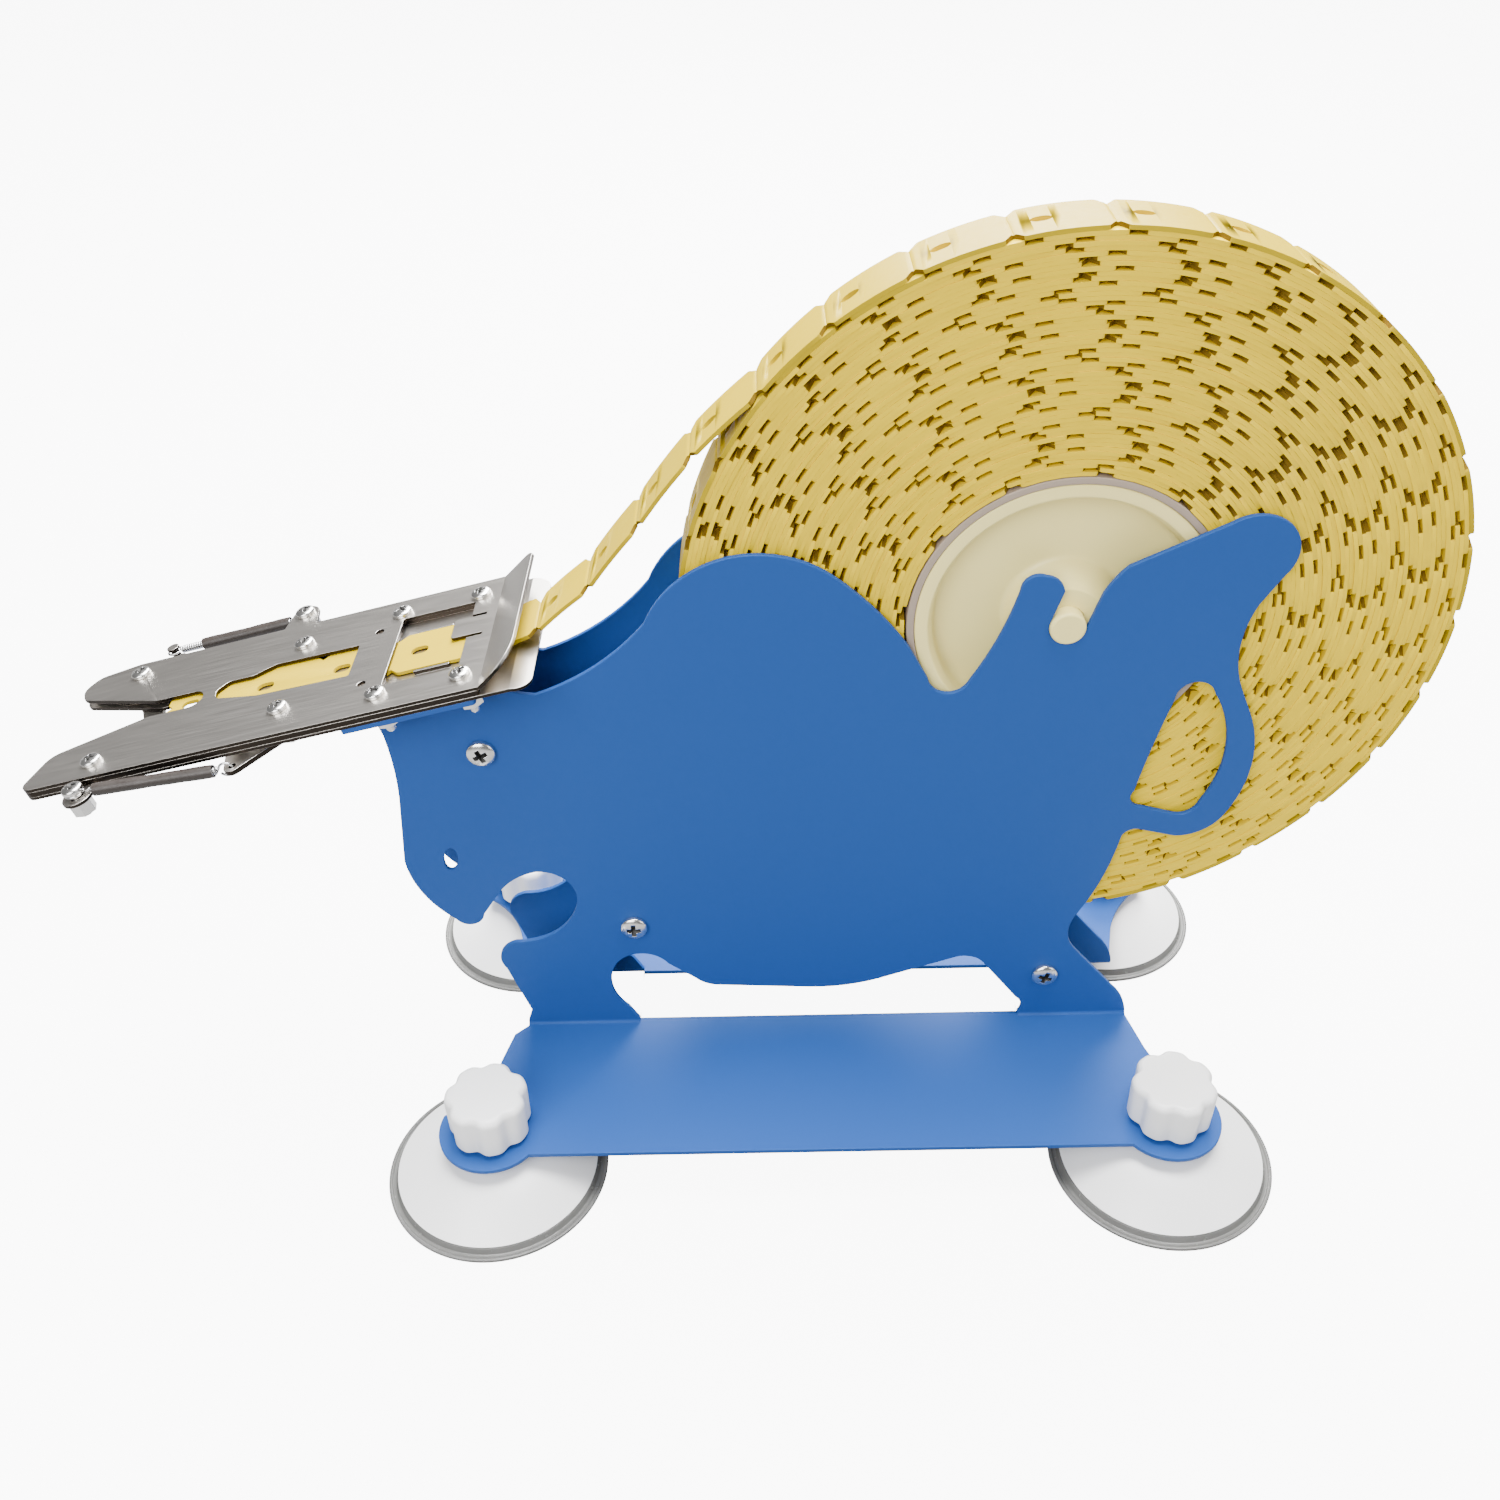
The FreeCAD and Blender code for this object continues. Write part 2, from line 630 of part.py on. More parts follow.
def head_lower_plate():
    """Lower plate with its entry lip, pawl slot and near spring ear."""
    plate = head_plate(-LIP_CREASE, STACK_LOWER, STACK_CHANNEL, INDEX_POST)
    reach = LIP_BACK - LIP_CREASE
    lip = slab(rounded([(0, -HEAD_HALF_W, 0), (0, HEAD_HALF_W, 0), (-reach, HEAD_HALF_W, 5),
                        (-reach, -HEAD_HALF_W, 5)]), STACK_LOWER - STACK_CHANNEL, 0)
    lip.rotate(V(0, 0, 0), V(0, 1, 0), -12)
    lip.translate(V(-LIP_CREASE, 0, STACK_CHANNEL))
    tabs = [slab(tab, STACK_LOWER, STACK_TOP_PLATE - 0.4) for tab in guide_tabs()]
    plate = plate.fuse([lip] + tabs).removeSplitter()
    return bored(plate.cut(pawl_slot()), plate_holes() + [INDEX_POST])


def guide_tabs():
    """Raised tabs of the lower plate that guide the ties across the square window."""
    inner = CHANNEL_HALF_W
    outer = CHANNEL_HALF_W + 0.8
    return [rounded([(first, low, 0), (first + 10, low, 0), (first + 10, high, 0), (first, high, 0)])
            for first, low, high in ((13.5, inner, outer), (11.5, -outer, -inner))]


def pawl_slot():
    """Slot that the pawl sweeps through."""
    s, y = PAWL_TIP
    return slab(rounded([(s - 2.6, y - 6.5, 1), (s + 2.6, y - 6.5, 1), (s + 2.6, y + 2.6, 1),
                         (s - 2.6, y + 2.6, 1)]), -12, STACK_TOP_PLATE)


def channel_rail(side):
    """Strip of steel beside the tie channel; side is 1 for far, -1 for near."""
    if side > 0:
        corners = [(1.0, CHANNEL_HALF_W, 0), (1.0, HEAD_HALF_W, 0)] + far_nose()[:2]
        corners += [(FAR_NOSE - 0.2, 19.0, 3), (112.0, CHANNEL_HALF_W, 2)]
    else:
        corners = [(112.0, -CHANNEL_HALF_W, 2)] + near_nose()
        corners += [(1.0, -HEAD_HALF_W, 0), (1.0, -CHANNEL_HALF_W, 0)]
    rail = slab(rounded(corners), STACK_CHANNEL, STACK_TOP_PLATE)
    rail = rail.cut([slab(square_window(1.0), -5, 0), pawl_slot()])
    return bored(rail, [at for at in plate_holes() if at[1] * side > 0])


def nut(low, at, height=M3_NUT_H):
    """Hexagon nut."""
    corner = M3_NUT_FLATS / 2 / math.cos(math.radians(30))
    points = []
    for k in range(6):
        angle = math.radians(60 * k + 12)
        points.append((corner * math.cos(angle), corner * math.sin(angle), 0))
    body = slab(rounded(points), low, low + height)
    body = body.cut(rod(M3_R, low - 1, low + height + 1))
    body.translate(V(at[0], at[1], 0))
    return body


def plate_screw(seat, nut_low, at, turn=0, stub=STUB):
    """Pan screw with its head on `seat`, long enough to pass its nut."""
    screw = pan_screw(M3_R, M3_HEAD_R, M3_HEAD_H, seat - nut_low + stub)
    screw.rotate(V(0, 0, 0), V(0, 0, 1), turn)
    screw.translate(V(at[0], at[1], seat))
    return screw


def bush(low, at):
    """Plain bush that a lever turns on."""
    body = rod(BUSH_R, low, STACK_LOWER).cut(rod(M3_R, low, STACK_LOWER))
    body.translate(V(at[0], at[1], 0))
    return body


def gate_lever():
    """Gate that closes the bag slot, with its spring hook."""
    elbow = (104.5, 8.0)
    bars = [link_bar(GATE_PIVOT, 5.0, elbow, 3.2), link_bar(elbow, 3.2, GATE_TIP, 2.2),
            link_bar(GATE_PIVOT, 5.0, GATE_HOOK, 2.4)]
    lever = fused([slab(bar, GATE_LOW, GATE_TOP) for bar in bars])
    lever = bored(lever, [GATE_PIVOT], BUSH_R + RUN_FIT)
    pin = rod(HOOK_PIN_R, GATE_LOW, GATE_PIN_TOP, GATE_HOOK)
    collar = rod(PIN_COLLAR_R, GATE_PIN_TOP - PIN_COLLAR_H, GATE_PIN_TOP, GATE_HOOK)
    return fused([lever, pin, collar])


def index_lever():
    """Lever whose pawl holds the strip by an edge notch."""
    arm_end = (PAWL_TIP[0], PAWL_TIP[1] - 1.2)
    bars = [link_bar(INDEX_PIVOT, 5.0, arm_end, 2.4), link_bar(INDEX_PIVOT, 5.0, INDEX_HOOK, 2.4),
            link_bar(arm_end, 2.4, INDEX_HOOK, 2.4)]
    lever = fused([slab(bar, INDEX_LOW, INDEX_TOP) for bar in bars])
    s, y = PAWL_TIP
    pawl = slab(rounded([(s - 1.5, y - 2.4, 0.4), (s + 1.5, y - 2.4, 0.4), (s + 0.5, y + 1.0, 0.4),
                         (s - 0.5, y + 1.0, 0.4)]), INDEX_LOW, STACK_TOP_PLATE - 0.3)
    lever = lever.fuse(pawl).removeSplitter()
    lever = bored(lever, [INDEX_PIVOT], BUSH_R + RUN_FIT)
    return bored(lever, [INDEX_HOOK], 1.0)


def spring_run(post, post_up, hook, hook_up):
    """Start, direction and length of the line from a post to a lever's hook hole."""
    start = V(post[0], post[1], post_up)
    run = V(hook[0], hook[1], hook_up) - start
    length = run.Length
    return start, run.normalize(), length


def spring(post, post_up, hook, hook_up, flat_ring):
    """Coil as a rod, a loop around the post and a ring on a pin or through a hole."""
    start, along, length = spring_run(post, post_up, hook, hook_up)
    loop_r = M3_R + 0.8
    ring_r = 1.9
    loop = Part.makeTorus(loop_r, WIRE_R, start, V(0, 0, 1))
    end = start + along * length
    if flat_ring:
        hook_ring = Part.makeTorus(ring_r, WIRE_R, end, V(0, 0, 1))
        length -= ring_r
    else:
        hook_ring = Part.makeTorus(ring_r, WIRE_R, end - along * ring_r, along.cross(V(0, 0, 1)))
        length -= 2 * ring_r
    wire_end = COIL_START + 0.5
    wire = Part.makeCylinder(WIRE_R, wire_end - loop_r, start + along * loop_r, along)
    coil_run = length - COIL_START
    coil = Part.makeCylinder(COIL_R, coil_run, start + along * COIL_START, along)
    return fused([coil, wire, loop, hook_ring])


def spring_sleeve(post, post_up, hook, hook_up, first, last):
    """Soft sleeve over the coil between two distances from the post."""
    start, along, length = spring_run(post, post_up, hook, hook_up)
    outer = Part.makeCylinder(SLEEVE_R, last - first, start + along * first, along)
    bore = Part.makeCylinder(COIL_R + SLEEVE_FIT, last - first, start + along * first, along)
    return outer.cut(bore)


# ---------------------------------------------------------------- tie strip

def tie_outline(front, count):
    """Plan of `count` linked ties, counted back from the free front end."""
    half = TIE_W / 2
    notch = 2.3
    corner = 1.6
    points = [(front, notch - 0.8, 0), (front - 1.6, 0, 0), (front, -notch + 0.8, 0)]
    near = []
    for i in range(count + 1):
        s = front - i * TIE_PITCH
        if i > 0:
            near += [(s + notch, -half, corner), (s, -half + notch, 0)]
        if i < count:
            near += [(s - notch, -half, corner)] if i > 0 else [(s, -half, 2.6)]
    far = [(s, -v, r) for s, v, r in reversed(near)]
    return rounded(points + near + far)


def tie_strip_head():
    """Ties lying in the head channel."""
    count = 4
    low = STRIP_MID - TIE_T / 2
    strip = slab(tie_outline(TIE_TIP, count), low, low + TIE_T)
    tail = TIE_TIP - count * TIE_PITCH
    stub = slab(rounded([(tail + 0.02, -6.7, 0), (tail + 0.02, 6.7, 0), (tail - 2.3, 9, 0), (-3, 9, 0),
                         (-3, -9, 0), (tail - 2.3, -9, 0)]), low, low + TIE_T)
    strip = strip.fuse(stub)
    holes = []
    for i in range(count):
        s = TIE_TIP - i * TIE_PITCH - TIE_HOLE_AT
        holes.append(slab(rounded([(s - 2.5, -1.75, 1.7), (s + 2.5, -1.75, 1.7), (s + 2.5, 1.75, 1.7),
                                   (s - 2.5, 1.75, 1.7)]), low - 1, low + 2))
    return strip.cut(holes).removeSplitter()


# Joints of the free strip between its first joint and the roll: share of the run and bow
STRIP_JOINTS = [(0.22, -2.0), (0.48, -0.2), (0.74, 1.7)]


def strip_route():
    """Middle line of the free strip, from the head to the roll, as (x, z)."""
    entry = head_point(-3.4, 0, STRIP_MID)
    rim = ROLL_R + 0.3 + TIE_T / 2
    angle = math.radians(LEAVE_ANGLE)
    first = V(-75.2, 0, 162.2)
    last = V(AXLE_X + rim * math.cos(angle), 0, AXLE_Z + rim * math.sin(angle))
    run = last - first
    across = V(-run.z, 0, run.x).normalize()
    joints = [first + run * share + across * bow for share, bow in STRIP_JOINTS]
    return [(p.x, p.z) for p in [entry, first] + joints + [last]]


def tie_strip_span():
    """Free stretch of the strip between roll and head."""
    route = [V(x, 0, z) for x, z in strip_route()]
    sides = []
    for i, point in enumerate(route):
        before = (point - route[i - 1]).normalize() if i else None
        after = (route[i + 1] - point).normalize() if i + 1 < len(route) else None
        heading = (before + after).normalize() if before and after else (before or after)
        across = V(-heading.z, 0, heading.x)
        stretch = 1 / across.dot(V(-after.z, 0, after.x)) if before and after else 1
        sides.append(across * (TIE_T / 2 * stretch))
    upper = [(p + q) for p, q in zip(route, sides)]
    lower = [(p - q) for p, q in zip(route, sides)]
    loop = upper + lower[::-1]
    face = Part.Face(Part.makePolygon(loop + [loop[0]]))
    face.translate(V(0, -TIE_W / 2, 0))
    return face.extrude(V(0, TIE_W, 0))


# ---------------------------------------------------------------- build

os.makedirs("parts", exist_ok=True)

add("side_plate_near", [side_plate(-1)])
add("side_plate_far", [side_plate(1)])
add("head_bracket", [head_bracket()])
add("spacer_tubes", spacer_tubes())
add("frame_screws_near", frame_screws(-1))
add("frame_screws_far", frame_screws(1))

add("foot_cup_shells", at_feet(foot_shell()))
add("foot_cup_lips", at_feet(foot_lip()))
add("foot_studs", at_feet(foot_stud()))
KNOB_NAMES = ["front_near_knob", "front_far_knob", "rear_near_knob", "rear_far_knob"]
for knob_name, knob_body in zip(KNOB_NAMES, at_feet(foot_knob())):
    add(knob_name, [knob_body])

add("axle_rod", [axle_rod()])
add("hub_near", [hub_half(-1)])
add("hub_far", [hub_half(1)])
add("roll_core", [ring(CORE_OUT_R, CORE_IN_R, TIE_W / 2)])
add("tie_roll", [ring(ROLL_R, CORE_OUT_R, TIE_W / 2)])
add("tie_strip_head", [to_head(tie_strip_head())])
add("tie_strip_span", [tie_strip_span()])

add("head_top_plate", [to_head(head_top_plate())])
add("head_lower_plate", [to_head(head_lower_plate())])
add("channel_rail_near", [to_head(channel_rail(-1))])
add("channel_rail_far", [to_head(channel_rail(1))])

BRACKET_NUT_LOW = STACK_BRACKET - LOCK_NUT_H
PLATE_NUT_LOW = STACK_LOWER - M3_NUT_H
add("bracket_clamp_screws",
    [to_head(plate_screw(0, BRACKET_NUT_LOW, at, 0, LONG_STUB)) for at in BRACKET_CLAMPS])
add("bracket_clamp_nuts", [to_head(nut(BRACKET_NUT_LOW, at, LOCK_NUT_H)) for at in BRACKET_CLAMPS])
PLATE_CLAMPS = [FAR_CLAMP, NEAR_CLAMP]
add("plate_clamp_screws", [to_head(plate_screw(0, PLATE_NUT_LOW, at, 25)) for at in PLATE_CLAMPS])
add("plate_clamp_nuts", [to_head(nut(PLATE_NUT_LOW, at)) for at in PLATE_CLAMPS])

GATE_BUSH_LOW = GATE_LOW - 0.3
INDEX_BUSH_LOW = INDEX_LOW - 0.3
add("gate_pivot_bush", [to_head(bush(GATE_BUSH_LOW, GATE_PIVOT))])
add("gate_pivot_screw", [to_head(plate_screw(0, GATE_BUSH_LOW - M3_NUT_H, GATE_PIVOT, 40))])
add("gate_pivot_nut", [to_head(nut(GATE_BUSH_LOW - M3_NUT_H, GATE_PIVOT))])
add("index_pivot_bush", [to_head(bush(INDEX_BUSH_LOW, INDEX_PIVOT))])
add("index_pivot_screw", [to_head(plate_screw(0, INDEX_BUSH_LOW - M3_NUT_H, INDEX_PIVOT, 10))])
add("index_pivot_nut", [to_head(nut(INDEX_BUSH_LOW - M3_NUT_H, INDEX_PIVOT))])
add("gate_lever", [to_head(gate_lever())])
add("index_lever", [to_head(index_lever())])

INDEX_LOOP_UP = STACK_CHANNEL + 4 * LOOP_GAP + WIRE_R
GATE_POST_NUT_LOW = GATE_LOOP_UP - WIRE_R - LOOP_GAP - M3_NUT_H
INDEX_POST_SEAT = INDEX_LOOP_UP + WIRE_R + LOOP_GAP
INDEX_POST_NUT_LOW = STACK_LOWER - LOCK_NUT_H
add("gate_spring_post", [to_head(plate_screw(0, GATE_POST_NUT_LOW, GATE_POST, 15))])
add("gate_spring_post_nut", [to_head(nut(GATE_POST_NUT_LOW, GATE_POST))])
add("index_spring_post", [to_head(plate_screw(INDEX_POST_SEAT, INDEX_POST_NUT_LOW, INDEX_POST, 55))])
add("index_spring_post_nut", [to_head(nut(INDEX_POST_NUT_LOW, INDEX_POST, LOCK_NUT_H))])
GATE_SPRING = (GATE_POST, GATE_LOOP_UP, GATE_HOOK, GATE_LOOP_UP)
INDEX_SPRING = (INDEX_POST, INDEX_LOOP_UP, INDEX_HOOK, (INDEX_TOP + INDEX_LOW) / 2)
add("gate_spring", [to_head(spring(*GATE_SPRING, True))])
add("index_spring", [to_head(spring(*INDEX_SPRING, False))])
add("gate_spring_sleeve", [to_head(spring_sleeve(*GATE_SPRING, COIL_START + 0.2, 33.0))])
add("index_spring_sleeve", [to_head(spring_sleeve(*INDEX_SPRING, COIL_START + 0.2, 37.5))])

export_all()
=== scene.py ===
"""Looks of a bench-top bag-neck tie machine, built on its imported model."""
import json
import logging
import math
import random
from dataclasses import dataclass, field
from enum import Enum
from typing import Callable, Iterable, Sequence

import bmesh
import bpy
from mathutils import Matrix, Vector


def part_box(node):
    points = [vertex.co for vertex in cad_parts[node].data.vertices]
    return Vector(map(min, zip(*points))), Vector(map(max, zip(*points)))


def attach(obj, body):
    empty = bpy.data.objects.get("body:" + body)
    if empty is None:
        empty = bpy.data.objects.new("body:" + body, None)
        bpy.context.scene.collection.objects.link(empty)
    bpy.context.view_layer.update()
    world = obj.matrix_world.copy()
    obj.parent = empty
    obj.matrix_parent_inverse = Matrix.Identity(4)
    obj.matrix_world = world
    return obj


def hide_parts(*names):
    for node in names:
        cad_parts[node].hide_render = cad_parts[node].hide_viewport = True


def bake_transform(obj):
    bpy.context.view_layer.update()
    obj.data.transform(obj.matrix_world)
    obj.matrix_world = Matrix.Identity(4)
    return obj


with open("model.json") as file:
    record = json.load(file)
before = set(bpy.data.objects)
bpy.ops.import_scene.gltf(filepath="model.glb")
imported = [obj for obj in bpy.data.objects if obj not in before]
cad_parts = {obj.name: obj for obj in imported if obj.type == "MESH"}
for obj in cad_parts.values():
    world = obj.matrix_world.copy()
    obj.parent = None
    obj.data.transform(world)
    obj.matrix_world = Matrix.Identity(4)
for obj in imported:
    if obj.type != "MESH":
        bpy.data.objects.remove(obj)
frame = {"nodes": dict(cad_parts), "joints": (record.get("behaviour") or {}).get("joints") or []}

LOG = logging.getLogger("tie_machine")
MM = 0.001
SAME_POINT = 1e-7            # vertices closer than this are one
WELD_REACH = 1e-6            # the same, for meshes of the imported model
FLAT_ANGLE = 0.5             # degrees below which neighbouring faces are one face
Profile = Sequence[tuple[float, float]]


# ------------------------------------------------------------------ shader groups


class Effect(Enum):
    """Shared shader effects, each one a node group."""

    GRAIN = "surface_grain"
    BRUSH = "brush_streaks"
    EDGE_AND_SHADE = "cut_edge_and_painted_shade"


class ShaderEffects:
    """Builds each shared node group once and hands it out."""

    def __init__(self) -> None:
        """Start with no groups built."""
        self._built: dict[Effect, bpy.types.NodeTree] = {}

    def get(self, effect: Effect) -> bpy.types.NodeTree:
        """Return the group of an effect.

        Args:
            effect: Which effect is wanted.

        Returns:
            The node group, built on first use.
        """
        makers = {
            Effect.GRAIN: self._grain,
            Effect.BRUSH: self._brush,
            Effect.EDGE_AND_SHADE: self._cut_edge_and_shade,
        }
        if effect not in self._built:
            self._built[effect] = makers[effect]()
        return self._built[effect]

    @staticmethod
    def _start(name: str, inputs: dict[str, float], outputs: Iterable[str]) -> bpy.types.NodeTree:
        """Make an empty group with float sockets.

        Args:
            name: Name of the group.
            inputs: Input sockets and their default values.
            outputs: Output socket names.

        Returns:
            The group with its input and output nodes.
        """
        tree = bpy.data.node_groups.new(name, "ShaderNodeTree")
        for socket, value in inputs.items():
            made = tree.interface.new_socket(socket, in_out="INPUT", socket_type="NodeSocketFloat")
            made.default_value = value
        for socket in outputs:
            tree.interface.new_socket(socket, in_out="OUTPUT", socket_type="NodeSocketFloat")
        tree.nodes.new("NodeGroupInput").name = "in"
        tree.nodes.new("NodeGroupOutput").name = "out"
        return tree

    def _relief(self, name: str, scale: float, patch: float, details: tuple[float, float],
                stretch: tuple[float, float, float] = (1.0, 1.0, 1.0)) -> bpy.types.NodeTree:
        """Make a group of fine relief with slow changes of tone.

        Args:
            name: Name of the group.
            scale: Usual scale of the relief.
            patch: Usual scale of the slow change of tone.
            details: Detail of the relief and of the slow change.
            stretch: How the relief is squeezed along X, Y and Z.

        Returns:
            The group, with a height and a tone.
        """
        tree = self._start(name, {"Scale": scale, "Patch": patch}, ["Height", "Tone"])
        coords = tree.nodes.new("ShaderNodeTexCoord")
        squeeze = tree.nodes.new("ShaderNodeVectorMath")
        squeeze.operation = "MULTIPLY"
        squeeze.inputs[1].default_value = stretch
        tree.links.new(coords.outputs["Object"], squeeze.inputs[0])
        rows = (("Scale", "Height", squeeze.outputs["Vector"]), ("Patch", "Tone", coords.outputs["Object"]))
        for (socket, output, place), detail in zip(rows, details):
            noise = tree.nodes.new("ShaderNodeTexNoise")
            noise.inputs["Detail"].default_value = detail
            tree.links.new(place, noise.inputs["Vector"])
            tree.links.new(tree.nodes["in"].outputs[socket], noise.inputs["Scale"])
            tree.links.new(noise.outputs["Fac"], tree.nodes["out"].inputs[output])
        return tree

    def _grain(self) -> bpy.types.NodeTree:
        """Fine orange peel, the same in every direction."""
        return self._relief("surface_grain", 900.0, 18.0, (3.0, 4.0))

    def _brush(self) -> bpy.types.NodeTree:
        """Long thin streaks that run along the plates, as a belt leaves them."""
        return self._relief("brush_streaks", 1400.0, 25.0, (2.0, 3.0), (0.03, 1.0, 0.03))

    def _cut_edge_and_shade(self) -> bpy.types.NodeTree:
        """Faces that stand upright, as the sheared edges of a plate do; the mask of their darker tone,
        which is partly painted shade.
        """
        tree = self._start("cut_edge_and_painted_shade", {"Low": 0.3, "High": 0.75}, ["Mask"])
        normal = tree.nodes.new("ShaderNodeNewGeometry")
        split = tree.nodes.new("ShaderNodeSeparateXYZ")
        flat = tree.nodes.new("ShaderNodeMath")
        flat.operation = "ABSOLUTE"
        upright = tree.nodes.new("ShaderNodeMapRange")
        upright.inputs["To Min"].default_value = 1.0
        upright.inputs["To Max"].default_value = 0.0
        tree.links.new(normal.outputs["Normal"], split.inputs["Vector"])
        tree.links.new(split.outputs["Z"], flat.inputs[0])
        tree.links.new(flat.outputs["Value"], upright.inputs["Value"])
        tree.links.new(tree.nodes["in"].outputs["Low"], upright.inputs["From Min"])
        tree.links.new(tree.nodes["in"].outputs["High"], upright.inputs["From Max"])
        tree.links.new(upright.outputs["Result"], tree.nodes["out"].inputs["Mask"])
        return tree


EFFECTS = ShaderEffects()


# ------------------------------------------------------------------ finishes


@dataclass(frozen=True)
class Finish:
    """A surface finish: two tones of one colour, gloss and relief.

    Attributes:
        name: Name of the material.
        slot: Material slot of the record that it stands for; not used.
        dark: Darker tone, linear red, green and blue.
        light: Lighter tone.
        rough: Lowest and highest roughness.
        metallic: 1 for bare metal.
        relief: Depth of the surface relief, in metres.
        effect: Group that gives the relief and the tone.
        scale: Scale of the relief.
        patch: Scale of the slow change of tone.
        sockets: Plain values set on the shader.
        edge: Darker tone of the upright faces, partly the cut edges' own tone and partly painted shade, or
            none.
    """

    name: str
    slot: str
    dark: tuple[float, float, float]
    light: tuple[float, float, float]
    rough: tuple[float, float] = (0.4, 0.5)
    metallic: float = 0.0
    relief: float = 0.00002
    effect: Effect = Effect.GRAIN
    scale: float = 900.0
    patch: float = 18.0
    sockets: tuple[tuple[str, float], ...] = ()
    edge: tuple[float, float, float] | None = None

    def build(self) -> bpy.types.Material:
        """Return the material, made on first use."""
        if self.name in bpy.data.materials:
            return bpy.data.materials[self.name]
        material = bpy.data.materials.new(self.name)
        material.use_nodes = True
        nodes = material.node_tree.nodes
        links = material.node_tree.links
        shader = nodes["Principled BSDF"]
        shader.inputs["Metallic"].default_value = self.metallic
        for socket, value in self.sockets:
            shader.inputs[socket].default_value = value
        group = nodes.new("ShaderNodeGroup")
        group.node_tree = EFFECTS.get(self.effect)
        group.inputs["Scale"].default_value = self.scale
        group.inputs["Patch"].default_value = self.patch
        tones = nodes.new("ShaderNodeMix")
        tones.data_type = "RGBA"
        tones.inputs["A"].default_value = (*self.dark, 1.0)
        tones.inputs["B"].default_value = (*self.light, 1.0)
        links.new(group.outputs["Tone"], tones.inputs["Factor"])
        colour = tones.outputs["Result"]
        # painted shade: upright faces take the near-black edge colour, on top of the cut edges' own tone
        if self.edge:
            colour = self._edge_tone_and_shade(nodes, links, colour)
        links.new(colour, shader.inputs["Base Color"])
        gloss = nodes.new("ShaderNodeMapRange")
        gloss.inputs["From Min"].default_value = 0.3
        gloss.inputs["From Max"].default_value = 0.7
        gloss.inputs["To Min"].default_value = self.rough[0]
        gloss.inputs["To Max"].default_value = self.rough[1]
        links.new(group.outputs["Height"], gloss.inputs["Value"])
        links.new(gloss.outputs["Result"], shader.inputs["Roughness"])
        bump = nodes.new("ShaderNodeBump")
        bump.inputs["Strength"].default_value = 0.6
        bump.inputs["Distance"].default_value = self.relief
        links.new(group.outputs["Height"], bump.inputs["Height"])
        links.new(bump.outputs["Normal"], shader.inputs["Normal"])
        return material

    def _edge_tone_and_shade(
        self,
        nodes: bpy.types.Nodes,
        links: bpy.types.NodeLinks,
        colour: bpy.types.NodeSocket,
    ) -> bpy.types.NodeSocket:
        """Darken the cut edges of a plate that faces up, with every upright face; the dark is partly the
        edges' own tone and partly painted shade.

        Args:
            nodes: Nodes of the material.
            links: Links of the material.
            colour: Socket that gives the colour of the faces.

        Returns:
            Socket that gives the colour with its dark edges, partly painted shade.
        """
        cut = nodes.new("ShaderNodeGroup")
        cut.node_tree = EFFECTS.get(Effect.EDGE_AND_SHADE)
        layer = nodes.new("ShaderNodeMix")
        layer.data_type = "RGBA"
        layer.inputs["B"].default_value = (*self.edge, 1.0)
        links.new(cut.outputs["Mask"], layer.inputs["Factor"])
        links.new(colour, layer.inputs["A"])
        return layer.outputs["Result"]


BLUE_POWDER = Finish("blue_powder_coat", "painted_sheet", (0.012, 0.063, 0.255), (0.014, 0.069, 0.275),
                     rough=(0.48, 0.56), relief=0.000012, scale=1500.0, patch=9.0,
                     sockets=(("Specular IOR Level", 0.16),))
# The near-black edge colour darkens every upright steel face: partly the cut edges' own tone, partly
# painted shade.
BRUSHED_STEEL = Finish("brushed_head_steel", "head_steel", (0.52, 0.49, 0.45), (0.70, 0.67, 0.63),
                       rough=(0.29, 0.35), metallic=1.0, relief=0.000002, effect=Effect.BRUSH,
                       scale=2200.0, patch=16.0, edge=(0.030, 0.024, 0.019))
BRIGHT_ZINC = Finish("bright_zinc", "zinc_fastener", (0.70, 0.69, 0.67), (0.80, 0.79, 0.77),
                     rough=(0.20, 0.25), metallic=1.0, relief=0.000001, scale=2600.0, patch=120.0)
# Near-black finish of the cross recesses in the screw heads: painted shade inside the recess.
RECESS_SHADE = Finish("screw_recess_painted_shade", "zinc_fastener", (0.03, 0.03, 0.03), (0.07, 0.068, 0.064),
                     rough=(0.5, 0.6), metallic=1.0, relief=0.000001, scale=2600.0, patch=300.0)
SPRING_WIRE = Finish("spring_wire", "spring_steel", (0.50, 0.50, 0.50), (0.68, 0.68, 0.68),
                     rough=(0.18, 0.32), metallic=1.0, relief=0.000004, scale=3000.0, patch=400.0)
SLEEVE_TUBE = Finish("sleeve_tube", "sleeve_rubber", (0.012, 0.009, 0.008), (0.030, 0.023, 0.019),
                     rough=(0.38, 0.55), relief=0.00004, scale=1300.0, patch=160.0)
WHITE_MOULDED = Finish("white_moulded", "white_plastic", (0.80, 0.80, 0.80), (0.87, 0.87, 0.87),
                       rough=(0.28, 0.36), relief=0.00001, scale=1600.0, patch=30.0)
CLEAR_LIP = Finish("clear_soft_lip", "clear_rubber", (0.10, 0.10, 0.095), (0.16, 0.16, 0.155),
                   rough=(0.16, 0.28), relief=0.00001, scale=500.0, patch=60.0,
                   sockets=(("Transmission Weight", 0.08), ("IOR", 1.41)))
HUB_CREAM = Finish("hub_cream", "hub_plastic", (0.88, 0.75, 0.27), (0.93, 0.81, 0.33),
                   rough=(0.30, 0.42), relief=0.000012, scale=1200.0, patch=20.0)
CORE_BOARD = Finish("core_board", "core_board", (0.085, 0.062, 0.042), (0.17, 0.125, 0.085),
                    rough=(0.75, 0.92), relief=0.00010, effect=Effect.BRUSH, scale=900.0, patch=500.0)
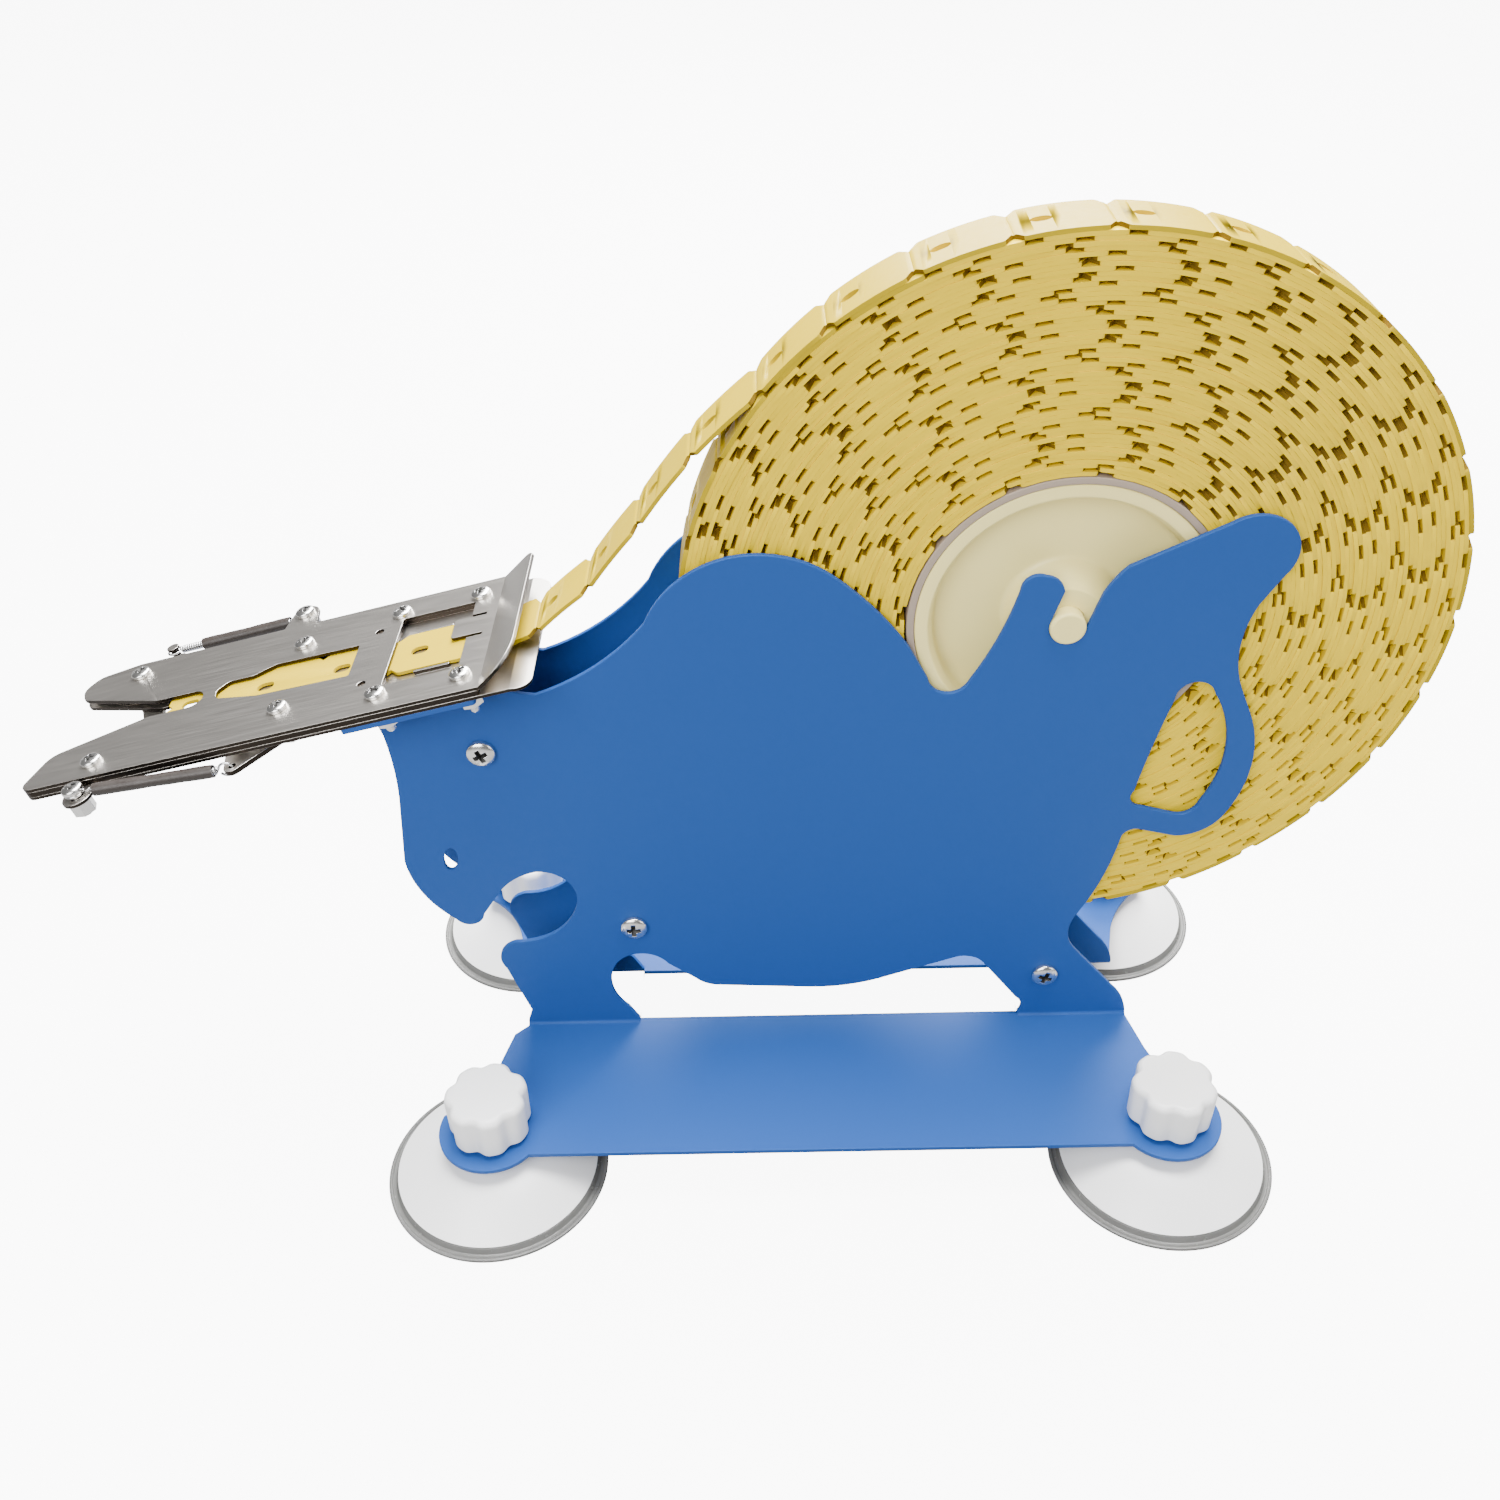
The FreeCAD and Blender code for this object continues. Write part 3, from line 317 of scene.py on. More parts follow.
TIE_YELLOW = Finish("tie_yellow", "tie_plastic", (0.68, 0.475, 0.001), (0.80, 0.565, 0.001),
                    rough=(0.38, 0.50), relief=0.00001, scale=800.0, patch=45.0,
                    sockets=(("Specular IOR Level", 0.22),))
# Near-black tie finish for the walls of the notches: painted shade of the narrow gaps between turns.
NOTCH_SHADE = Finish("tie_notch_painted_shade", "tie_plastic", (0.090, 0.055, 0.005), (0.190, 0.115, 0.008),
                   rough=(0.6, 0.7), relief=0.00001, scale=800.0, patch=500.0,
                   sockets=(("Specular IOR Level", 0.05),))
# A darker copy of the tie yellow for the free strip, the ties in the head and the roll's outer turn:
# painted shade that offsets the strong light from above; they are the same stock as the rest.
SHADED_TIE_YELLOW = Finish("tie_yellow_painted_shade", "tie_plastic", (0.39, 0.275, 0.001), (0.45, 0.320, 0.001),
                      rough=(0.40, 0.50), relief=0.00001, scale=800.0, patch=45.0,
                      sockets=(("Specular IOR Level", 0.12),))


# ------------------------------------------------------------------ mesh helpers


def mesh_object(name: str, verts: Sequence[Sequence[float]], faces: Sequence[Sequence[int]],
                finish: Finish, crease: float = 35.0) -> bpy.types.Object:
    """Make a smooth-shaded object whose sharp edges stay sharp.

    Args:
        name: Name of the object.
        verts: Vertices in metres.
        faces: Vertex numbers of each face.
        finish: Finish of every face.
        crease: Angle in degrees above which an edge stays sharp.

    Returns:
        The new object, linked to the scene.
    """
    mesh = bpy.data.meshes.new(name)
    mesh.from_pydata([tuple(v) for v in verts], [], [tuple(f) for f in faces])
    work = bmesh.new()
    work.from_mesh(mesh)
    bmesh.ops.remove_doubles(work, verts=work.verts, dist=SAME_POINT)
    bmesh.ops.recalc_face_normals(work, faces=work.faces)
    for face in work.faces:
        face.smooth = True
    for edge in work.edges:
        if len(edge.link_faces) == 2:
            edge.smooth = edge.calc_face_angle(0.0) < math.radians(crease)
    work.to_mesh(mesh)
    work.free()
    mesh.materials.append(finish.build())
    made = bpy.data.objects.new(name, mesh)
    bpy.context.scene.collection.objects.link(made)
    return made


def rounded_profile(
    corners: Sequence[tuple[float, float, float]], steps: int = 5
) -> list[tuple[float, float]]:
    """Round the corners of a closed outline.

    Args:
        corners: Corners as (x, y, radius).
        steps: Number of chords in each rounded corner.

    Returns:
        Points of the rounded outline.
    """
    points: list[tuple[float, float]] = []
    for i, (x, y, radius) in enumerate(corners):
        here = Vector((x, y))
        back = Vector(corners[i - 1][:2]) - here
        ahead = Vector(corners[(i + 1) % len(corners)][:2]) - here
        if radius <= 0:
            points.append((x, y))
            continue
        half = back.angle(ahead) / 2
        reach = min(radius / math.tan(half), 0.49 * back.length, 0.49 * ahead.length)
        first = here + back.normalized() * reach
        last = here + ahead.normalized() * reach
        for k in range(steps + 1):
            t = k / steps
            bend = first * (1 - t) ** 2 + here * 2 * t * (1 - t) + last * t * t
            points.append((bend.x, bend.y))
    return points


def lathe(name: str, outline: Profile, finish: Finish, segments: int = 96,
          lobes: Callable[[float, float, float], float] | None = None) -> bpy.types.Object:
    """Turn a closed outline of (radius, height) about the Z axis.

    Args:
        name: Name of the object.
        outline: Closed outline, radius and height in metres.
        finish: Finish of the piece.
        segments: Number of steps around.
        lobes: Optional function of radius, height and angle that gives a new radius.

    Returns:
        The turned object at the origin.
    """
    verts: list[tuple[float, float, float]] = []
    faces: list[tuple[int, ...]] = []
    count = len(outline)
    for k in range(segments):
        angle = 2 * math.pi * k / segments
        for radius, height in outline:
            r = lobes(radius, height, angle) if lobes else radius
            verts.append((r * math.cos(angle), r * math.sin(angle), height))
    for k in range(segments):
        here, there = k * count, (k + 1) % segments * count
        for i in range(count):
            j = (i + 1) % count
            if outline[i][0] < 1e-9 and outline[j][0] < 1e-9:
                continue
            faces.append((here + i, there + i, there + j, here + j))
    return mesh_object(name, verts, faces, finish)


def placed(made: bpy.types.Object, matrix: Matrix) -> bpy.types.Object:
    """Move a piece's own mesh, so that the object stays at the origin.

    Args:
        made: The piece.
        matrix: Where it goes.

    Returns:
        The same piece.
    """
    made.data.transform(matrix)
    made.data.update()
    return made


def joined(name: str, parts: Sequence[bpy.types.Object]) -> bpy.types.Object:
    """Join several pieces into one object.

    Args:
        name: Name of the joined piece.
        parts: Pieces with the same finish, all at the origin.

    Returns:
        The first piece, now holding all of them.
    """
    with bpy.context.temp_override(active_object=parts[0], selected_editable_objects=list(parts)):
        bpy.ops.object.join()
    parts[0].name = name
    return parts[0]


def around(centre: Vector, first: Vector, second: Vector, radius: float, angle: float) -> Vector:
    """Find a place on a circle.

    Args:
        centre: Middle of the circle.
        first: Direction of angle zero.
        second: Direction of a quarter turn.
        radius: Radius of the circle.
        angle: Angle in radians.

    Returns:
        The place.
    """
    return centre + first * (radius * math.cos(angle)) + second * (radius * math.sin(angle))


def middle(node: str) -> Vector:
    """Find the centre of a node's box.

    Args:
        node: Name of the CAD node.

    Returns:
        The centre.
    """
    low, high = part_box(node)
    return (Vector(low) + Vector(high)) / 2


def extent(node: str) -> Vector:
    """Find the size of a node's box.

    Args:
        node: Name of the CAD node.

    Returns:
        Its size along X, Y and Z.
    """
    low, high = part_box(node)
    return Vector(high) - Vector(low)


def joint_named(name: str) -> dict:
    """Find a joint of the record.

    Args:
        name: Name of the joint.

    Returns:
        The joint as the record gives it.
    """
    return next(j for j in frame["joints"] if j["name"] == name)


def dress(nodes: Iterable[str], finish: Finish, edge: float = 0.0, angle: float = 40.0) -> None:
    """Give CAD nodes a finish and softly broken edges.

    Args:
        nodes: Names of the nodes.
        finish: Finish they all take.
        edge: Width of the broken edge in metres, 0 for none.
        angle: Edges sharper than this many degrees are broken.
    """
    for name in nodes:
        piece = frame["nodes"][name]
        material = finish.build()
        if not piece.material_slots:
            piece.data.materials.append(material)
        for place in piece.material_slots:
            place.material = material
        if edge:
            weld = piece.modifiers.new("weld", "WELD")
            weld.merge_threshold = WELD_REACH
            flats = piece.modifiers.new("whole_faces", "DECIMATE")
            flats.decimate_type = "DISSOLVE"
            flats.angle_limit = math.radians(FLAT_ANGLE)
            rim = piece.modifiers.new("broken_edges", "BEVEL")
            rim.width = edge
            rim.segments = 2
            rim.limit_method = "ANGLE"
            rim.angle_limit = math.radians(angle)
            rim.use_clamp_overlap = False
            rim.harden_normals = True
        LOG.info("dressed %s", name)


# ------------------------------------------------------------------ fasteners


@dataclass
class PanScrews:
    """Cross-recess pan screws, seen from outside: a domed head on a shank.

    Attributes:
        node: CAD node that the group replaces.
        head_r: Radius of the head.
        head_h: Height of the head.
        shank_r: Radius of the shank.
        length: Length of the shank.
        seats: Middle of each head's underside.
        axis: Direction that the heads face.
        body: Body that carries the screws.
    """

    node: str
    head_r: float
    head_h: float
    shank_r: float
    length: float
    seats: list[Vector]
    axis: Vector
    body: str = "frame"

    def build(self) -> bpy.types.Object:
        """Build every screw of the node as one piece.

        Returns:
            The piece that replaces the node.
        """
        turn = self.axis.to_track_quat("Z", "Y").to_matrix().to_4x4()
        screws = []
        for index, seat in enumerate(self.seats):
            spin = Matrix.Rotation(math.radians(25 + 67 * index), 4, "Z")
            screw = self._one(f"{self.node}_piece_{index}")
            screws.append(placed(screw, Matrix.Translation(seat) @ turn @ spin))
        piece = joined(f"{self.node}_look", screws)
        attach(piece, self.body)
        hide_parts(self.node)
        LOG.info("built %s", piece.name)
        return piece

    def _one(self, name: str) -> bpy.types.Object:
        """Build one upright screw with its cross recess.

        Args:
            name: Name of the piece.

        Returns:
            The screw, head underside at the origin.
        """
        r, h = self.head_r, self.head_h
        dome = [(r * math.sin(math.radians(a)), h * (0.45 + 0.55 * math.cos(math.radians(a))))
                for a in range(0, 91, 10)]
        outline = [(0.0, -self.length), (self.shank_r * 0.8, -self.length),
                   (self.shank_r, -self.length + self.shank_r * 0.4), (self.shank_r, 0.0),
                   (r * 0.94, 0.0), (r, h * 0.08)] + dome[::-1]
        screw = lathe(name, outline, BRIGHT_ZINC, segments=48)
        cutters = [self._blade(name, turn) for turn in (0.0, 90.0)]
        for cutter in cutters:
            cut = screw.modifiers.new("recess", "BOOLEAN")
            cut.object = cutter
            cut.solver = "EXACT"
            # the recess walls take the cutter's near-black finish: painted shade in the cross recess
            cut.material_mode = "TRANSFER"
        depsgraph = bpy.context.evaluated_depsgraph_get()
        baked = bpy.data.meshes.new_from_object(screw.evaluated_get(depsgraph))
        screw.modifiers.clear()
        screw.data = baked
        for cutter in cutters:
            bpy.data.objects.remove(cutter)
        return screw

    def _blade(self, name: str, turn: float) -> bpy.types.Object:
        """Tapered blade that cuts one arm of the cross.

        Args:
            name: Name of the screw that it cuts.
            turn: Angle of the arm in degrees.

        Returns:
            The cutter.
        """
        arm, half = self.head_r * 0.66, self.head_r * 0.17
        low, high = self.head_h * 0.16, self.head_h * 1.3
        corners = [(-0.35, -1.0, low), (0.35, -1.0, low), (0.35, 1.0, low), (-0.35, 1.0, low),
                   (-1.0, -1.0, high), (1.0, -1.0, high), (1.0, 1.0, high), (-1.0, 1.0, high)]
        verts = [(x * arm, y * half, z) for x, y, z in corners]
        faces = [(0, 3, 2, 1), (4, 5, 6, 7), (0, 1, 5, 4), (1, 2, 6, 5), (2, 3, 7, 6), (3, 0, 4, 7)]
        # the cutter carries the painted shade of the recess
        return placed(mesh_object(f"{name}_cut_edge_and_shade_{turn:.0f}", verts, faces, RECESS_SHADE),
                      Matrix.Rotation(math.radians(turn), 4, "Z"))


# ------------------------------------------------------------------ feet


@dataclass
class SuctionFeet:
    """Four suction cups with their hand nuts.

    Attributes:
        lobes: Number of lobes of a hand nut.
        lobe_depth: How deep the hollows between lobes are.
        knob_r: Radius of a hand nut over its lobes.
        neck: Radius and height of the neck under a hand nut.
        wall: Wall of the dome.
    """

    lobes: int = 7
    lobe_depth: float = 1.35 * MM
    knob_r: float = 12.1 * MM
    neck: tuple[float, float] = (8.0 * MM, 1.3 * MM)
    wall: float = 2.0 * MM

    def build(self) -> None:
        """Build domes, lips and hand nuts and dress the studs."""
        knobs = ["front_near_knob", "front_far_knob", "rear_near_knob", "rear_far_knob"]
        places = [Vector(joint_named(f"{name}_turn")["pos_m"]) for name in knobs]
        self._group("foot_cup_shells", "domes", self._dome, places, WHITE_MOULDED)
        self._group("foot_cup_lips", "soft_lips", self._lip, places, CLEAR_LIP)
        for name, place in zip(knobs, places):
            low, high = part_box(name)
            knob = self._knob(f"{name}_look", low[2], high[2])
            placed(knob, Matrix.Translation((place.x, place.y, 0.0)))
            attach(knob, f"{name}_body")
            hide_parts(name)
            LOG.info("built %s", knob.name)
        dress(["foot_studs"], BRIGHT_ZINC)

    def _group(self, node: str, name: str, maker: Callable[[str, float, float], bpy.types.Object],
               places: Sequence[Vector], finish: Finish) -> None:
        """Build one piece at every foot and join the four.

        Args:
            node: CAD node that they replace.
            name: Name of the joined piece.
            maker: Builds one piece from its name and its lowest and highest points.
            places: Centres of the feet.
            finish: Finish of the piece.
        """
        low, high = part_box(node)
        parts = []
        for index, place in enumerate(places):
            part = maker(f"{name}_{index}", low[2], high[2])
            parts.append(placed(part, Matrix.Translation((place.x, place.y, 0.0))))
        piece = joined(name, parts)
        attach(piece, "frame")
        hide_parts(node)
        LOG.info("built %s in %s", name, finish.name)

    def _dome(self, name: str, low: float, high: float) -> bpy.types.Object:
        """Build the hard dome over a cup.

        Args:
            name: Name of the piece.
            low: Height of its rim.
            high: Height of its neck.

        Returns:
            The dome at the origin.
        """
        rim = extent("foot_cup_shells").y / 2 - joint_named("front_far_knob_turn")["pos_m"][1]
        neck = 9.0 * MM
        outer = []
        for k in range(15):
            t = k / 14
            swing = math.sin(math.pi / 2 * t)
            outer.append((rim + (neck - rim) * t, low + 0.4 * MM + (high - low - 4.6 * MM) * swing))
        inner = [(r - self.wall * 0.45, z - self.wall) for r, z in outer[2:]]
        bore = 2.75 * MM
        outline = ([(rim - 0.5 * MM, low), (rim - 0.1 * MM, low + 0.1 * MM)] + outer
                   + [(neck, high - 0.6 * MM), (neck - 0.6 * MM, high), (bore, high),
                      (bore, high - 6 * MM)]
                   + inner[::-1] + [(rim - self.wall, low)])
        return lathe(name, outline, WHITE_MOULDED, segments=120)

    def _lip(self, name: str, low: float, high: float) -> bpy.types.Object:
        """Build the soft disc whose edge shows around the dome.

        Args:
            name: Name of the piece.
            low: Height of the bench.
            high: Height of its middle.

        Returns:
            The disc at the origin.
        """
        rim = extent("foot_cup_lips").y / 2 - joint_named("front_far_knob_turn")["pos_m"][1]
        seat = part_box("foot_cup_shells")[0][2]
        corners = [
            (0.0, 5.2 * MM, 0.0), (6.0 * MM, 5.0 * MM, 1.0 * MM), (rim - 1.3 * MM, low, 0.4 * MM),
            (rim, low, 0.25 * MM), (rim, low + 1.1 * MM, 0.45 * MM),
            (rim - 0.9 * MM, low + 1.1 * MM, 0.3 * MM), (rim - 1.3 * MM, low + 0.7 * MM, 0.3 * MM),
            (rim - 2.2 * MM, low + 0.7 * MM, 0.3 * MM), (rim - 2.9 * MM, seat, 0.4 * MM),
            (rim - 5.2 * MM, seat, 0.5 * MM), (7.0 * MM, high, 1.0 * MM), (0.0, high, 0.0)]
        return lathe(name, rounded_profile(corners), CLEAR_LIP, segments=120)

    def _knob(self, name: str, low: float, high: float) -> bpy.types.Object:
        """Build a lobed hand nut.

        Args:
            name: Name of the piece.
            low: Height of its underside.
            high: Height of its top.

        Returns:
            The hand nut at the origin.
        """
        r, neck, bore = self.knob_r, self.neck[0], 2.55 * MM
        corners = [
            (bore, low, 0.3 * MM), (neck, low, 0.2 * MM), (neck, low + self.neck[1], 0.1 * MM),
            (r - 0.2 * MM, low + self.neck[1], 0.9 * MM), (r, high - 0.3 * MM, 2.6 * MM),
            (0.0, high, 0.0), (0.0, high - 2.6 * MM, 0.0), (bore, high - 2.6 * MM, 0.0)]

        def lobed(radius: float, height: float, angle: float) -> float:
            """Radius of the star at an angle.

            Args:
                radius: Radius of the outline.
                height: Height on the outline.
                angle: Angle around the nut.

            Returns:
                The radius with its hollows.
            """
            wave = (0.5 + 0.5 * math.cos(self.lobes * angle)) ** 2.2
            reach = max(0.0, (radius - r * 0.72) / (r * 0.28))
            return radius - self.lobe_depth * wave * min(1.0, reach * 1.3)

        return lathe(name, rounded_profile(corners, 7), WHITE_MOULDED, segments=168, lobes=lobed)


# ------------------------------------------------------------------ tie stock and reel


@dataclass
class TieStock:
    """Linked plastic ties: each a rounded tab joined to the next by a torn neck.

    Attributes:
        pitch: Length of one tie.
        half_width: Half the width of the stock.
        thick: Thickness.
        neck: Half width left at a joint.
        notch: Length of a notch on each side of a joint.
        hole_at: Middle of the neck hole, from the tie's front joint.
        hole_half: Half length and half width of the hole.
        shaded_notch_band: Side faces that lie between these distances from the middle line, the walls of
            the notches, take the near-black finish, painted shade of the gaps between turns.
    """

    pitch: float = 22.5 * MM
    half_width: float = 9.0 * MM
    thick: float = 1.07 * MM
    neck: float = 6.3 * MM
    notch: float = 2.6 * MM
    hole_at: float = 7.0 * MM
    hole_half: tuple[float, float] = (2.5 * MM, 1.75 * MM)
    shaded_notch_band: tuple[float, float] = (3.0 * MM, 8.55 * MM)

    def reach(self, along: float) -> float:
        """Half width of a tie.

        Args:
            along: Distance from the tie's front joint.

        Returns:
            Distance from the middle line to the edge.
        """
        near = min(along, self.pitch - along)
        if near >= self.notch:
            return self.half_width
        t = near / self.notch
        return self.neck + (self.half_width - self.neck) * math.sin(math.pi / 2 * t) ** 2.2

    def hole(self, along: float) -> float:
        """Half width of the hole.

        Args:
            along: Distance from the tie's front joint.

        Returns:
            Half width of the hole there, 0 outside it.
        """
        offset = (along - self.hole_at) / self.hole_half[0]
        return self.hole_half[1] * math.sqrt(max(0.0, 1 - offset * offset))

    def stations(self, fine: bool) -> list[float]:
        """Places along one tie where its cross section is drawn.

        Args:
            fine: True for a tie with its hole and tear line.

        Returns:
            Distances from the front joint, without the next joint.
        """
        notch = [0.0, 0.5 * MM, 1.2 * MM, 2.0 * MM, 2.6 * MM]
        tail = [self.pitch - d for d in reversed(notch[1:])]
        if not fine:
            return notch + [7.5 * MM, 12.0 * MM, 16.5 * MM] + tail
        ring = [self.hole_at + self.hole_half[0] * k for k in (-1.0, -0.9, -0.6, 0.0, 0.6, 0.9, 1.0)]
        return notch + ring + [11.5 * MM, 14.0 * MM, 17.0 * MM] + tail

    def depth(self, along: float) -> float:
        """Thickness of a tie, thinner on the tear line.

        Args:
            along: Distance from the tie's front joint.

        Returns:
            Thickness there.
        """
        near = min(along, self.pitch - along)
        return self.thick * (0.5 if near < 0.3 * MM else 1.0)

    def ribbon(self, name: str, cuts: Sequence[tuple[Vector, Vector, float, float]],
               fine: bool, finish: Finish = TIE_YELLOW) -> bpy.types.Object:
        """Build linked ties through a row of cross sections.

        Args:
            name: Name of the piece.
            cuts: For each section its middle, its outward normal, the distance from the
                front joint of its tie and its sideways shift.
            fine: True to open the holes.
            finish: Finish of the ribbon.

        Returns:
            The ribbon.
        """
        verts: list[Vector] = []
        faces: list[tuple[int, ...]] = []
        for spot, normal, along, shift in cuts:
            edge = self.reach(along)
            slit = self.hole(along) if fine else 0.0
            rise = normal * (self.depth(along) / 2)
            rows = (-edge, -slit, slit, edge) if fine else (-edge, edge)
            for side in (1, -1):
                verts += [spot + rise * side + Vector((0, v + shift, 0)) for v in rows]
        wide = 8 if fine else 4
        half = wide // 2
        for k in range(len(cuts) - 1):
            a, b = k * wide, (k + 1) * wide
            opened = fine and (self.hole(cuts[k][2]) > 0 or self.hole(cuts[k + 1][2]) > 0)
            for i in range(half - 1):
                if i == 1 and fine:
                    continue
                faces.append((a + i, a + i + 1, b + i + 1, b + i))
                faces.append((a + half + i, b + half + i, b + half + i + 1, a + half + i + 1))
            faces.append((a, b, b + half, a + half))
            faces.append((a + half - 1, a + wide - 1, b + wide - 1, b + half - 1))
            if opened:
                faces.append((a + 1, a + half + 1, b + half + 1, b + 1))
                faces.append((a + 2, b + 2, b + half + 2, a + half + 2))
        for k in (0, len(cuts) - 1):
            a = k * wide
            faces.append(tuple(range(a, a + half)) + tuple(range(a + wide - 1, a + half - 1, -1)))
        made = mesh_object(name, verts, faces, finish, crease=50.0)
        # the notch walls take the near-black finish: painted shade between turns
        made.data.materials.append(NOTCH_SHADE.build())
        inner, outer = self.shaded_notch_band
        for face in made.data.polygons:
            if inner < abs(face.center.y) < outer and abs(face.normal.y) > 0.25:
                face.material_index = 1
        return made


@dataclass
class TieReel:
    """Wound ties on their cardboard core, hub and axle.

    Attributes:
        stock: The ties.
        layer: Radius taken by one turn.
        leave: Angle in degrees where the strip leaves the roll, from +X towards +Z.
        lift: Height of the strip's middle above the ring of the CAD model.
        free_tie: How much of a tie lies in the free stretch before the roll.
        fine_ties: Number of outer ties drawn with hole and tear line.
        hub_web: Thickness of a hub's web.
        boss: Radius of a hub's boss at its foot and at its top.
        core_wall: Wall of the cardboard core.
        seed: Seed of the small unevenness of the winding.
    """

    stock: TieStock = field(default_factory=TieStock)
    layer: float = 1.1 * MM
    leave: float = 141.1
    lift: float = 0.8 * MM
    free_tie: float = 0.0
    fine_ties: int = 30
    hub_web: float = 2.0 * MM
    boss: tuple[float, float] = (15.5 * MM, 9.6 * MM)
    core_wall: float = 2.0 * MM
    seed: int = 7

    def build(self) -> None:
        """Build the roll, the core and the two hub halves."""
        axle = middle("axle_rod")
        outer = extent("tie_roll").z / 2
        inner = extent("roll_core").z / 2
        fine, plain = self._winding(axle, outer, inner)
        # the outer turn takes the darker tie yellow, painted shade against the light from above
        roll = joined("wound_ties", [
            self.stock.ribbon("wound_ties_outer", fine, True, SHADED_TIE_YELLOW),
            self.stock.ribbon("wound_ties_inner", plain, False)])
        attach(roll, "reel")
        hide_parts("tie_roll")
        LOG.info("built wound_ties with %d sections", len(fine) + len(plain))
        self._core(axle, inner)
        for side, node in ((-1, "hub_near"), (1, "hub_far")):
            self._hub(axle, side, node)
        dress(["axle_rod"], HUB_CREAM, edge=0.3 * MM)

    def _winding(self, axle: Vector, outer: float, inner: float) -> tuple[list, list]:
        """Sections of the spiral, from its outer end inwards.

        Args:
            axle: Middle of the axle.
            outer: Radius of the roll.
            inner: Radius of the core.

        Returns:
            Sections of the outer ties, and of all the others.
        """
        dice = random.Random(self.seed)
        radius = outer + self.lift
        angle = math.radians(self.leave)
        along = self.free_tie
        shift = 0.0
        goal = 0.0
        fine: list[tuple[Vector, Vector, float, float]] = []
        plain: list[tuple[Vector, Vector, float, float]] = []
        count = 0
        while radius > inner + self.stock.thick * 0.6:
            detailed = count < self.fine_ties
            marks = [m for m in self.stock.stations(detailed) if m > along] + [self.stock.pitch]
            for mark in [along] + marks:
                step = mark - along
                angle -= step / radius
                radius -= self.layer * step / radius / (2 * math.pi)
                shift += (goal - shift) * min(1.0, step / (8 * MM))
                along = mark
                out = Vector((math.cos(angle), 0.0, math.sin(angle)))
                cut = (axle + out * radius, out, along, shift)
                (fine if detailed else plain).append(cut)
            along = 0.0
            count += 1
            goal = dice.uniform(-0.22, 0.22) * MM
            if count == self.fine_ties:
                plain.append(fine[-1])
        return fine, plain

    def _core(self, axle: Vector, outer: float) -> None:
        """Build the cardboard core with soft, worn rims.

        Args:
            axle: Middle of the axle.
            outer: Radius of the core.
        """
        half = extent("roll_core").y / 2
        bore = outer - self.core_wall
        corners = [(bore, -half, 0.5 * MM), (outer, -half, 0.4 * MM), (outer, half, 0.4 * MM),
                   (bore, half, 0.5 * MM)]
        core = lathe("cardboard_core", rounded_profile(corners), CORE_BOARD, segments=144)
        placed(core, Matrix.Translation(axle) @ Matrix.Rotation(math.radians(90), 4, "X"))
        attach(core, "reel")
        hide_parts("roll_core")
        LOG.info("built %s", core.name)

    def _hub(self, axle: Vector, side: int, node: str) -> None:
        """Build one moulded hub half.

        Args:
            axle: Middle of the axle.
            side: -1 for the near half, 1 for the far one.
            node: CAD node that it replaces.
        """
        half = extent(node).y
        rim = extent(node).z / 2
        web = self.hub_web
        foot, top = self.boss
        bore = extent("axle_rod").z / 2 + 0.05 * MM
        corners = [
            (bore, 0.0, 0.0), (rim, 0.0, 0.0), (rim, half, 0.6 * MM),
            (rim - 3.4 * MM, half, 0.8 * MM), (rim - 4.6 * MM, half - 2.4 * MM, 1.2 * MM),
            (rim - 5.4 * MM, web, 2.2 * MM), (foot, web, 2.5 * MM),
            (top + 1.6 * MM, half - 1.6 * MM, 1.6 * MM), (top, half, 0.8 * MM), (bore, half, 0.2 * MM)]
        piece = lathe(f"{node}_look", rounded_profile(corners, 8), HUB_CREAM, segments=144)
        turn = Matrix.Rotation(math.radians(-90 * side), 4, "X")
        placed(piece, Matrix.Translation((axle.x, 0.0, axle.z)) @ turn)
        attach(piece, "reel")
        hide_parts(node)
        LOG.info("built %s", piece.name)


